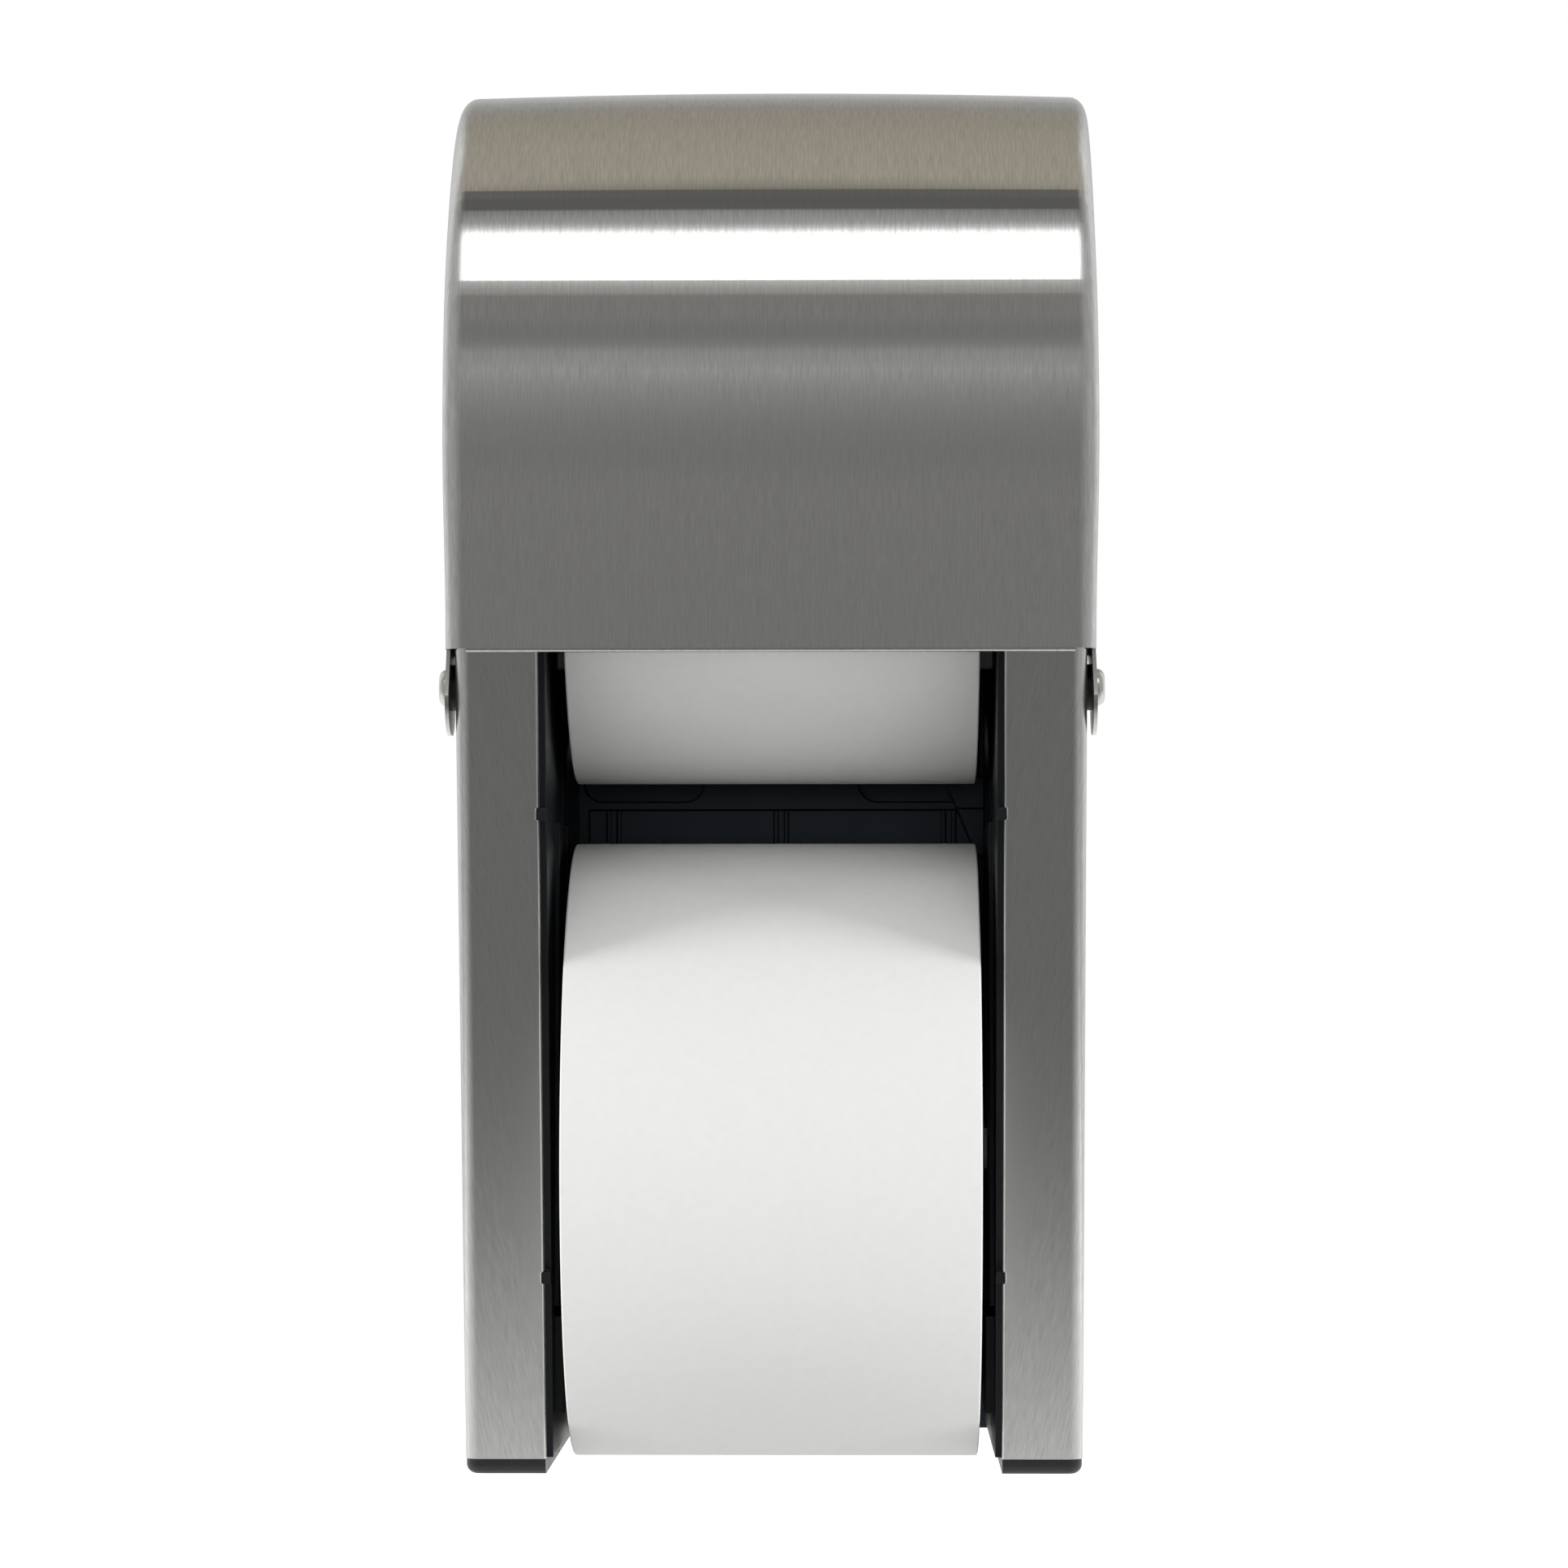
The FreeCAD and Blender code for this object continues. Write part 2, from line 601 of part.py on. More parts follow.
pocket(side, outline(side, "YZ_Plane", [
    (rail_front("(rail_low - overrun)", f"{LIP_INSET} + overrun"), "rail_low - overrun"),
    (rail_front("(rail_low - overrun)", f"{FRAME_INSET} + frame_wall"), "rail_low - overrun"),
    (rail_front("(rail_top - frame_wall)", f"{FRAME_INSET} + frame_wall"), "rail_top - frame_wall"),
    (rail_front("(rail_top - frame_wall)", f"{LIP_INSET} + overrun"), "rail_top - frame_wall")],
    f"{LIP_SIDE} + frame_wall"), f"{FRAME_OUTER} - {LIP_SIDE} - 2 * frame_wall")
for height in ANCHOR_HEIGHTS:
    pad(side, outline(side, "YZ_Plane", oblong(
        "-back_depth - anchor_depth", f"{height} - anchor_height / 2", "-back_depth",
        f"{height} + anchor_height / 2"), HOLLOW_SIDE), HOLLOW_WIDTH)
pad(side, outline(side, "YZ_Plane", oblong(
    "-foot_screw_depth - foot_block / 2", "rail_low + spigot_height + seat_gap",
    "-foot_screw_depth + foot_block / 2", "rail_low + spigot_height + foot_block"),
    HOLLOW_SIDE), HOLLOW_WIDTH)
pad(side, ring(side, "YZ_Plane", "-pivot_depth", "pivot_height", "pivot_boss / 2", HOLLOW_SIDE),
    HOLLOW_WIDTH)
pad(side, outline(side, "YZ_Plane", oblong(
    "-track_pad_front", "track_pad_low", "-track_pad_rear", "track_pad_top"),
    "frame_inner - track_pad_rise"), "track_pad_rise")
for edge in (-1, 1):
    lug = f"(-roll_axis_depth + {edge} * lug_spread)"
    far = f"({lug} + {edge} * lug_thickness)"
    pad(side, outline(side, "YZ_Plane", oblong(
        lug if edge > 0 else far, "catch_pin_height - lug_height / 2", far if edge > 0 else lug,
        "catch_pin_height + lug_height / 2"), HOLLOW_SIDE), "lug_reach")
pad(side, outline(side, "YZ_Plane", oblong(
    "-rail_front_low + foot_pad_setback", "foot_pad_low", "-foot_pad_rear", "foot_pad_low + foot_pad_height"),
    "frame_inner - foot_pad_rise"), "foot_pad_rise")
TRACK_FACE = "(frame_inner - track_pad_rise)"
SLOT_CUT = "(track_pad_rise + frame_wall + 2 * overrun)"
pocket(side, outline(side, "YZ_Plane", oblong(
    f"-roll_axis_depth - {SLOT_HALF}", "lower_axis",
    f"-roll_axis_depth + {SLOT_HALF}", "frame_top + overrun"), f"{TRACK_FACE} - overrun"), SLOT_CUT)
pocket(side, ring(side, "YZ_Plane", "-roll_axis_depth", "lower_axis", SLOT_HALF, f"{TRACK_FACE} - overrun"),
       SLOT_CUT)
pocket(side, outline(side, "YZ_Plane", oblong(
    "-roll_axis_depth - hub_head / 2 - free_gap", "frame_top - frame_wall - overrun",
    "-roll_axis_depth + hub_head / 2 + free_gap", "frame_top + overrun"), HOLLOW_SIDE),
    f"journal_end + hub_head_thickness + free_gap - {HOLLOW_SIDE}")
pocket(side, outline(side, "YZ_Plane", oblong(
    "-tab_depth - tab_half_width - tab_margin", "tab_low - tab_margin",
    "-tab_depth + tab_half_width + tab_margin", "tab_low + tab_height + tab_margin"),
    "frame_inner - overrun"), "frame_wall + 2 * overrun")
pocket(side, outline(side, "YZ_Plane", [
    (rail_front("(rail_low - overrun)", "-overrun"), "rail_low - overrun"),
    (rail_front("(rail_top + overrun)", "-overrun"), "rail_top + overrun"),
    (rail_front("(rail_top + overrun)", "rail_lip + seat_gap"), "rail_top + overrun"),
    (rail_front("(rail_low - overrun)", "rail_lip + seat_gap"), "rail_low - overrun")],
    "frame_inner - overrun"), f"overrun + {LIP_SIDE} - frame_inner")
for height in ("notch_low_height", "notch_high_height"):
    pad(side, outline(side, "YZ_Plane", [
        (rail_front(height, f"{FRAME_INSET} / 2"), f"{height} + seat_gap"),
        (rail_front(height, "2 * rail_lip"), f"{height} + seat_gap"),
        (rail_front(height, "2 * rail_lip"), f"{height} + notch_height - seat_gap"),
        (rail_front(height, f"{FRAME_INSET} / 2"), f"{height} + notch_height - seat_gap")], "frame_inner"),
        f"{RAIL_INNER} + notch_depth - seat_gap - frame_inner")
side_holes = [
    rod("x", f"{FRAME_OUTER} - pivot_shank_length", "-pivot_depth", "pivot_height", "pivot_shank / 2",
        "pivot_shank_length + overrun"),
    rod("y", "catch_pin_side", "-roll_axis_depth - lug_spread - lug_thickness - overrun", "catch_pin_height",
        "catch_pin_diameter / 2", "2 * (lug_spread + lug_thickness + overrun)"),
    rod("z", ANCHOR_SIDE, "-foot_screw_depth", "rail_low", "tap_shank / 2",
        "foot_block + spigot_height + overrun"),
]
for height in ANCHOR_HEIGHTS:
    side_holes.append(rod("y", ANCHOR_SIDE, "-back_depth - anchor_depth + overrun", height, "tap_shank / 2",
                          "anchor_depth + overrun"))
right_side = node(cut(side, side_holes), "right_side_frame")
mirrored(right_side, "left_side_frame")

# Rail covers: folded steel channels snapped over the fronts of the side frames


def rail_block(name, inset, reach):
    """The leaning bar that a rail cover wraps, inset by the sheet and run past the ends by a reach."""
    body = new_body(name)
    block = pad(body, outline(body, "YZ_Plane", [
        (rail_front(f"(rail_low - {reach})", inset), f"rail_low - {reach}"),
        (rail_front(f"(rail_top + {reach})", inset), f"rail_top + {reach}"),
        (f"-rail_flange_rear + {reach}", f"rail_top + {reach}"),
        (f"-rail_flange_rear + {reach}", f"rail_low - {reach}")],
        f"{RAIL_INNER} + {inset}"), f"rail_face - 2 * {inset}")

    def on_front(spot):
        return near(spot.y, rail_front("((rail_low + rail_top) / 2)", inset))

    outer = rounded(body, block, f"rail_round - {inset}",
                    lambda spot: near(spot.x, f"rail_outer - {inset}") and on_front(spot))
    rounded(body, outer, f"rail_inner_round - {inset}",
            lambda spot: near(spot.x, f"{RAIL_INNER} + {inset}") and on_front(spot))
    return body


rail_solid = rail_block("rail_solid", "0", "0")
rail_hollow = rail_block("rail_hollow", "rail_sheet", "overrun")
lip_trim = new_body("lip_trim")
pad(lip_trim, outline(lip_trim, "YZ_Plane", [
    (rail_front("(rail_low - overrun)", "rail_lip"), "rail_low - overrun"),
    (rail_front("(rail_top + overrun)", "rail_lip"), "rail_top + overrun"),
    ("-rail_flange_rear + overrun", "rail_top + overrun"),
    ("-rail_flange_rear + overrun", "rail_low - overrun")],
    f"{RAIL_INNER} - overrun"), "rail_sheet + 2 * overrun")
rail_cuts = [rail_hollow, lip_trim,
             rod("x", f"{FRAME_OUTER} - overrun", "-pivot_depth", "pivot_height",
                 "pivot_shoulder / 2 + run_clear", "rail_sheet + 3 * overrun")]
for height in ("notch_low_height", "notch_high_height"):
    rail_cuts.append(box(f"{RAIL_INNER} - overrun", "-hood_depth", height, "overrun + notch_depth",
                         "hood_depth", "notch_height"))
right_rail = node(cut(rail_solid, rail_cuts), "right_rail_cover")
mirrored(right_rail, "left_rail_cover")

# Foot caps: black mouldings that close the lower ends of the rails

foot = new_body("foot_body")
foot_plate = pad(foot, outline(foot, "XY_Plane", [
    (RAIL_INNER, "-back_depth"),
    (RAIL_INNER, "-rail_front_low + foot_inset"),
    ("rail_outer - foot_inset", "-rail_front_low + foot_inset", "rail_round"),
    ("rail_outer - foot_inset", "-back_depth")]), "rail_low - seat_gap")
rounded(foot, foot_plate, "foot_round",
        lambda spot: near(spot.z, "0") and spot.x > number(RAIL_INNER) + number("foot_round")
        and spot.y < -number("back_depth") - number("foot_round"))
SPIGOT_LEFT = f"({HOLLOW_SIDE} + seat_gap)"
SPIGOT_RIGHT = f"({FRAME_OUTER} - frame_wall - seat_gap)"
SPIGOT_REAR = "(-back_depth - anchor_depth - seat_gap)"
SPIGOT_FRONT = rail_front("rail_low", f"{LIP_INSET} + seat_gap")
pad(foot, outline(foot, "XY_Plane", oblong(SPIGOT_LEFT, SPIGOT_FRONT, SPIGOT_RIGHT, SPIGOT_REAR),
                  "rail_low - seat_gap"), "spigot_height")
pocket(foot, outline(foot, "XY_Plane", oblong(
    f"{SPIGOT_LEFT} + spigot_wall", f"{SPIGOT_FRONT} + spigot_wall", f"{SPIGOT_RIGHT} - spigot_wall",
    f"{SPIGOT_REAR} - spigot_wall"), "rail_low"), "spigot_height + overrun")
foot_holes = [
    rod("z", ANCHOR_SIDE, "-foot_screw_depth", "-overrun", "tap_shank / 2 + seat_gap",
        "rail_low + 2 * overrun"),
    rod("z", ANCHOR_SIDE, "-foot_screw_depth", "-overrun", "tap_head / 2 + free_gap",
        "overrun + tap_head_rise + seat_gap"),
]
right_foot = node(cut(foot, foot_holes), "right_foot_cap")
mirrored(right_foot, "left_foot_cap")

# Tapping screws: side frames to back frame from the wall side, foot caps from below


def tap_screw(name):
    """A pan-head screw along +Z with its head's top at zero."""
    return turned(new_body(name), [
        ("0", "0"), ("tap_head / 2", "0", "tap_head_rise / 2"), ("tap_head / 2", "tap_head_rise"),
        ("tap_shank / 2 - run_clear", "tap_head_rise"),
        ("tap_shank / 2 - run_clear", "tap_head_rise + tap_length - tap_point"),
        ("0", "tap_head_rise + tap_length")], "XZ_Plane", "V_Axis")


wall_side_screws = []
for column in (-1, 1):
    for height in ANCHOR_HEIGHTS:
        screw = tap_screw("side_screw")
        screw.Placement = FreeCAD.Placement(FreeCAD.Vector(), FreeCAD.Rotation(FreeCAD.Vector(1, 0, 0), 90))
        place(screw, f"{column} * {ANCHOR_SIDE}", "-back_depth + back_wall + tap_head_rise", height)
        wall_side_screws.append(screw)
grouped(wall_side_screws, "side_frame_screws")
foot_screws = []
for column in (-1, 1):
    screw = tap_screw("foot_screw")
    place(screw, f"{column} * {ANCHOR_SIDE}", "-foot_screw_depth", "seat_gap")
    foot_screws.append(screw)
grouped(foot_screws, "foot_cap_screws")

# Pivots: a domed shoulder rivet through each ear, and a black bush that spaces the ear from the rail

HEAD_SIDE = "(hood_width / 2 + run_clear)"
rivet = turned(new_body("pivot_rivet"), [
    (f"{FRAME_OUTER} - pivot_shank_length + free_gap", "0"),
    (f"{FRAME_OUTER} - pivot_shank_length + free_gap", "pivot_shank / 2 - run_clear"),
    (f"{FRAME_OUTER} + run_clear", "pivot_shank / 2 - run_clear"),
    (f"{FRAME_OUTER} + run_clear", "pivot_shoulder / 2"),
    (HEAD_SIDE, "pivot_shoulder / 2"), (HEAD_SIDE, "pivot_head / 2"),
    (f"{HEAD_SIDE} + pivot_head_rise", "pivot_head / 2", "pivot_head_round"),
    (f"{HEAD_SIDE} + pivot_head_rise", "0")])
right_rivet = node(rivet, "right_pivot_rivet", "0", "-pivot_depth", "pivot_height")
mirrored(right_rivet, "left_pivot_rivet")
bush = turned(new_body("pivot_bush"), [
    ("rail_outer", "pivot_shoulder / 2 + run_clear"), ("rail_outer", "bush_diameter / 2"),
    (f"{HOOD_INSIDE} - seat_gap", "bush_diameter / 2"),
    (f"{HOOD_INSIDE} - seat_gap", "pivot_shoulder / 2 + run_clear")])
right_bush = node(bush, "right_pivot_bush", "0", "-pivot_depth", "pivot_height")
mirrored(right_bush, "left_pivot_bush")

# Hood: one formed sheet, open at the back and below, with an ear under each cheek and a folded hem in front


def hood_rounded(body, block, inset):
    """Rounds the edges between the cheeks and the front, bend and top."""
    return rounded(body, block, f"hood_edge_round - {inset}",
                   lambda spot: near(abs(spot.x), f"hood_width / 2 - {inset}")
                   and spot.z > number("hood_edge_height") and spot.y < -number("hood_wall_gap + overrun")
                   and (spot.y < -number("hood_depth - hood_bend") or near(spot.z, f"hood_height - {inset}")))


hood_solid = new_body("hood_solid")
hood_block = pad(hood_solid, outline(hood_solid, "YZ_Plane", [
    ("-hood_depth", "hood_edge_height"),
    ("-hood_depth", "hood_height", "hood_bend"),
    ("-hood_wall_gap", "hood_height"),
    ("-hood_wall_gap", "hood_edge_height"),
    ("-pivot_depth + ear_radius", "hood_edge_height"),
    ("-pivot_depth + ear_radius", "pivot_height - ear_radius", "ear_corner"),
    ("-pivot_depth - ear_radius", "pivot_height - ear_radius", "ear_corner"),
    ("-pivot_depth - ear_radius", "hood_edge_height")], "-hood_width / 2"), "hood_width")
hood_rounded(hood_solid, hood_block, "0")
hood_hollow = new_body("hood_hollow")
HOLLOW_LOW = "(pivot_height - ear_radius - overrun)"
hollow_block = pad(hood_hollow, outline(hood_hollow, "YZ_Plane", [
    ("-hood_depth + hood_sheet", HOLLOW_LOW),
    ("-hood_depth + hood_sheet", "hood_height - hood_sheet", "hood_bend - hood_sheet"),
    ("overrun", "hood_height - hood_sheet"),
    ("overrun", HOLLOW_LOW)], f"-{HOOD_INSIDE}"), f"2 * {HOOD_INSIDE}")
hood_rounded(hood_hollow, hollow_block, "hood_sheet")
hem = box("-hood_width / 2 + hem_end", "-hood_depth + hood_sheet", "hood_edge_height",
          "hood_width - 2 * hem_end", "hood_sheet", "hem_height")
hood_holes = [
    rod("x", "-hood_width / 2 - overrun", "-pivot_depth", "pivot_height", "pivot_shoulder / 2 + run_clear",
        "hood_width + 2 * overrun"),
    rod("z", "0", "-lock_depth", "hood_height - hood_sheet - overrun", "barrel_diameter / 2 + seat_gap",
        "hood_sheet + 2 * overrun"),
]
node(cut(joined([cut(hood_solid, [hood_hollow]), hem]), hood_holes), "hood")

# Key lock: a barrel clamped in the hood's top by a nut, and a plug that turns the cam under the striker

BORE = "(lock_plug / 2 + run_clear)"
barrel = turned(new_body("lock_barrel_body"), [
    (BORE, BARREL_LOW), ("barrel_diameter / 2", BARREL_LOW), ("barrel_diameter / 2", "hood_height"),
    ("barrel_head / 2", "hood_height"),
    ("barrel_head / 2", "hood_height + barrel_head_rise", "barrel_head_rise / 2"),
    (BORE, "hood_height + barrel_head_rise")], "XZ_Plane", "V_Axis")
node(barrel, "lock_barrel", "0", "-lock_depth")
nut_block = doc.addObject("Part::Prism", "nut_block")
nut_block.Polygon = 6
bind(nut_block, Circumradius=f"lock_nut / 2 * {HEX_CORNER_SHARE}", Height="lock_nut_thickness")
place(nut_block, "0", "0", "hood_height - hood_sheet - lock_nut_thickness")
nut_bore = rod("z", "0", "0", "hood_height - hood_sheet - lock_nut_thickness - overrun",
               "barrel_diameter / 2 + run_clear", "lock_nut_thickness + 2 * overrun")
node(cut(nut_block, [nut_bore]), "lock_nut", "0", "-lock_depth")
PLUG_TOP = "(hood_height + barrel_head_rise - seat_gap)"
plug = rod("z", "0", "0", BARREL_LOW, "lock_plug / 2", f"{PLUG_TOP} - {BARREL_LOW}")
key_slot = box("-key_slot_length / 2", "-key_slot_width / 2", f"{PLUG_TOP} - key_slot_depth",
               "key_slot_length", "key_slot_width", "key_slot_depth + overrun")
plug_bore = rod("z", "0", "0", f"{BARREL_LOW} - overrun", "cam_screw_shank / 2", "cam_screw_length + overrun")
node(cut(plug, [key_slot, plug_bore]), "lock_plug", "0", "-lock_depth")
cam = new_body("cam_body")
pad(cam, outline(cam, "XY_Plane", oblong(
    "-cam_width / 2", "-cam_width / 2", "cam_reach", "cam_width / 2", "cam_round"),
    f"{CAM_TOP} - cam_thickness"), "cam_thickness")
cam_hole = rod("z", "0", "0", f"{CAM_TOP} - cam_thickness - overrun", "cam_screw_shank / 2",
               "cam_thickness + 2 * overrun")
node(cut(cam, [cam_hole]), "lock_cam", "0", "-lock_depth")
CAM_LOW = f"({CAM_TOP} - cam_thickness)"
cam_screw = turned(new_body("cam_screw_body"), [
    ("0", f"{CAM_LOW} - cam_screw_head_rise"),
    ("cam_screw_head / 2", f"{CAM_LOW} - cam_screw_head_rise", "cam_screw_head_rise / 2"),
    ("cam_screw_head / 2", CAM_LOW),
    ("cam_screw_shank / 2 - run_clear", CAM_LOW),
    ("cam_screw_shank / 2 - run_clear", f"{CAM_LOW} + cam_thickness + cam_screw_length - free_gap"),
    ("0", f"{CAM_LOW} + cam_thickness + cam_screw_length - free_gap")], "XZ_Plane", "V_Axis")
node(cam_screw, "cam_screw", "0", "-lock_depth")

# Drop catches: a lever on a pin in each side frame, with a ledge under the reserve roll's hub and a thumb tab

catch = new_body("catch_body")
CATCH_FRONT = "(-roll_axis_depth - catch_half_width)"
CATCH_REAR = "(-roll_axis_depth + catch_half_width)"
TAB_FRONT = "(-tab_depth - tab_half_width)"
TAB_REAR = "(-tab_depth + tab_half_width)"
pad(catch, outline(catch, "YZ_Plane", [
    (CATCH_FRONT, "catch_pin_height"), (CATCH_FRONT, "elbow_height"), (TAB_FRONT, "tab_low + tab_height"),
    (TAB_FRONT, "tab_low"), (TAB_REAR, "tab_low"), (CATCH_REAR, "tab_low + tab_height"),
    (CATCH_REAR, "catch_pin_height")], "catch_bar_side"), "catch_bar_thickness")
pad(catch, outline(catch, "YZ_Plane", oblong(
    CATCH_FRONT, f"{LEDGE_TOP} - ledge_height", CATCH_REAR, LEDGE_TOP), "ledge_tip"),
    "catch_bar_side - ledge_tip")
pad(catch, outline(catch, "YZ_Plane", oblong(
    TAB_FRONT, "tab_low", TAB_REAR, "tab_low + tab_height"), "tab_tip"), "catch_bar_side - tab_tip")
catch_hub = rod("y", "catch_pin_side", CATCH_FRONT, "catch_pin_height", "catch_hub / 2",
                "2 * catch_half_width")
catch_bore = rod("y", "catch_pin_side", f"{CATCH_FRONT} - overrun", "catch_pin_height",
                 "catch_pin_diameter / 2 + run_clear", "2 * (catch_half_width + overrun)")
right_catch = node(cut(joined([catch, catch_hub]), [catch_bore]), "right_drop_catch")
mirrored(right_catch, "left_drop_catch")
PIN_HALF = "(lug_spread + lug_thickness + free_gap)"
catch_pin = rod("y", "0", "0", "0", "catch_pin_diameter / 2 - run_clear / 2", f"2 * {PIN_HALF}")
right_pin = node(catch_pin, "right_catch_pin", "catch_pin_side", f"-roll_axis_depth - {PIN_HALF}",
                 "catch_pin_height")
mirrored(right_pin, "left_catch_pin")
spring = new_body("catch_spring_body")
coil = spring.newObject("PartDesign::AdditiveHelix", "catch_coil")
coil_section = ring(spring, "XY_Plane", "spring_radius", "0", "spring_wire / 2")
coil.Profile = coil_section
coil.ReferenceAxis = (coil_section, ["V_Axis"])
coil.Mode = "pitch-height-angle"
bind(coil, Pitch="spring_pitch", Height="spring_length")
right_spring = node(spring, "right_catch_spring", "catch_pin_side",
                    f"{CATCH_REAR} + spring_wire / 2 + free_gap", "catch_pin_height")
mirrored(right_spring, "left_catch_spring")

# Rolls and hubs: a coreless roll with a tapered plug in each end, whose journals run in the guide slots

ROLL_END = "(roll_width / 2)"
for level in ("upper", "lower"):
    roll = turned(new_body(f"{level}_roll_body"), [
        (f"-{ROLL_END}", "roll_hole / 2"), (f"-{ROLL_END}", "roll_diameter / 2", "roll_edge"),
        (ROLL_END, "roll_diameter / 2", "roll_edge"), (ROLL_END, "roll_hole / 2")])
    node(roll, f"{level}_roll", "0", "-roll_axis_depth", f"{level}_axis")
    hub = turned(new_body(f"{level}_hub_body"), [
        (f"{ROLL_END} - plug_length", "0"), (f"{ROLL_END} - plug_length", "plug_tip / 2", "hub_round"),
        (ROLL_END, "plug_base / 2"), (ROLL_END, "flange_diameter / 2"),
        (f"{ROLL_END} + flange_thickness", "flange_diameter / 2", "hub_round"),
        (f"{ROLL_END} + flange_thickness", "journal_diameter / 2"),
        ("journal_end", "journal_diameter / 2"), ("journal_end", "hub_head / 2"),
        ("journal_end + hub_head_thickness", "hub_head / 2", "hub_round"),
        ("journal_end + hub_head_thickness", "0")])
    right_hub = node(hub, f"{level}_right_hub", "0", "-roll_axis_depth", f"{level}_axis")
    mirrored(right_hub, f"{level}_left_hub")

doc.recompute()
faults = [item.Name for item in doc.Objects if {"Invalid", "Error"} & set(item.State)]
for piece in nodes:
    if piece.Shape.isNull() or not piece.Shape.isValid() or not piece.Shape.Solids:
        faults.append(piece.Label)
if faults:
    raise RuntimeError("failed pieces: " + ", ".join(faults))
os.makedirs("parts", exist_ok=True)
for piece in nodes:
    piece.Shape.exportStep(f"parts/{piece.Label}.step")
    print(piece.Label, len(piece.Shape.Solids), round(piece.Shape.Volume))
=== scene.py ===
import math

import bmesh
import bpy
from mathutils import Matrix, Vector


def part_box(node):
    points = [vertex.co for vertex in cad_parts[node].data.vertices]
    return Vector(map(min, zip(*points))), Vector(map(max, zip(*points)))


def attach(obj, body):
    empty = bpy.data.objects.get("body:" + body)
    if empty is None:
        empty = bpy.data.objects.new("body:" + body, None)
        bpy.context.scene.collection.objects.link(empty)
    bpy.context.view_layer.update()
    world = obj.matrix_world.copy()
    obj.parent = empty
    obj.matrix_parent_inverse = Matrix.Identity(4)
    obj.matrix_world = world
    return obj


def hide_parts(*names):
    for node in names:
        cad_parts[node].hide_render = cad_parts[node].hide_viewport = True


# A wall dispenser for two coreless toilet rolls, dressed on its solids in the order it is put together.
# The object's sizes are in millimetres: heights count from the foot, and depths from the wall, with the front
# negative. The studio around it is in metres.

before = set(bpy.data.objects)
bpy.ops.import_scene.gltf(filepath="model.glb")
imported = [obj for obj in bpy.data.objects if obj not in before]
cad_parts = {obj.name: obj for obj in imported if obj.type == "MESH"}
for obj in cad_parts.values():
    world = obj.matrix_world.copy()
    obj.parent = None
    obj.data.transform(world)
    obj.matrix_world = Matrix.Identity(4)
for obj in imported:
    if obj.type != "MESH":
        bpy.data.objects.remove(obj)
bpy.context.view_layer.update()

# Back frame: a shallow tray of black ABS, moulded in one piece and screwed to the wall through four pockets.
# The mould was etched, so the flat panels have a fine satin grit with slightly glossier patches and a bluish
# gloss, and its corners were eased by half a millimetre, so edges catch a thin line of light.


def linear(colour):
    """A colour as it is seen, in hex, turned into the linear colour that shaders take."""
    parts = [int(colour[place:place + 2], 16) / 255 for place in (1, 3, 5)]
    return [part / 12.92 if part <= 0.04045 else ((part + 0.055) / 1.055) ** 2.4 for part in parts] + [1]


def add(tree, kind, sockets=None, **settings):
    """Adds a node with its settings; sockets gives values or links for its inputs, by name or number."""
    node = tree.nodes.new("ShaderNode" + kind)
    for name, value in settings.items():
        setattr(node, name, value)
    for name, value in (sockets or {}).items():
        if isinstance(value, bpy.types.NodeSocket):
            tree.links.new(value, node.inputs[name])
        else:
            node.inputs[name].default_value = value
    return node


def new_material(name):
    """A material without nodes, and its node tree."""
    material = bpy.data.materials.new(name)
    material.use_nodes = True
    material.node_tree.nodes.clear()
    return material, material.node_tree


def coat(material, *names):
    """Gives solids of the frame their material."""
    for name in names:
        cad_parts[name].material_slots[0].material = material


# A Mix node's sockets for colours are reached by number, because their names repeat those for plain values.
COLOUR_A, COLOUR_B, MIXED = 6, 7, 2


def textured_abs(name, shades, dullness, sheen):
    """Moulded ABS: two shades and two roughnesses in soft patches, the grit of the mould, and eased edges."""
    material, tree = new_material(name)
    place = add(tree, "TexCoord").outputs["Object"]
    # A scale is 1000 over a size in millimetres. The grit is drawn a few times too coarse, so that it shows.
    patches = add(tree, "TexNoise", {"Vector": place, "Scale": 1000 / 26, "Detail": 1}).outputs[0]
    grit = add(tree, "TexNoise", {"Vector": place, "Scale": 1000 / 0.5, "Detail": 2}).outputs[0]
    dark, pale = (linear(shade) for shade in shades)
    colour = add(tree, "Mix", {
        "Factor": patches, COLOUR_A: dark, COLOUR_B: pale}, data_type="RGBA").outputs[MIXED]
    gloss = add(tree, "MapRange", {"Value": patches, "To Min": dullness[0], "To Max": dullness[1]}).outputs[0]
    eased = add(tree, "Bevel", {"Radius": 0.5 / 1000}, samples=8).outputs[0]
    relief = add(tree, "Bump", {
        "Height": grit, "Strength": 0.3, "Distance": 0.03 / 1000, "Normal": eased}).outputs[0]
    surface = add(tree, "BsdfPrincipled", {
        "Base Color": colour, "Roughness": gloss, "Normal": relief, **sheen})
    add(tree, "OutputMaterial", {"Surface": surface.outputs[0]})
    return material


bluish_gloss = {"Specular Tint": linear("#D2E2F4")}
black_abs = textured_abs("moulded black ABS", ("#1E2429", "#21282D"), (0.2, 0.3), bluish_gloss)
coat(black_abs, "back_frame")

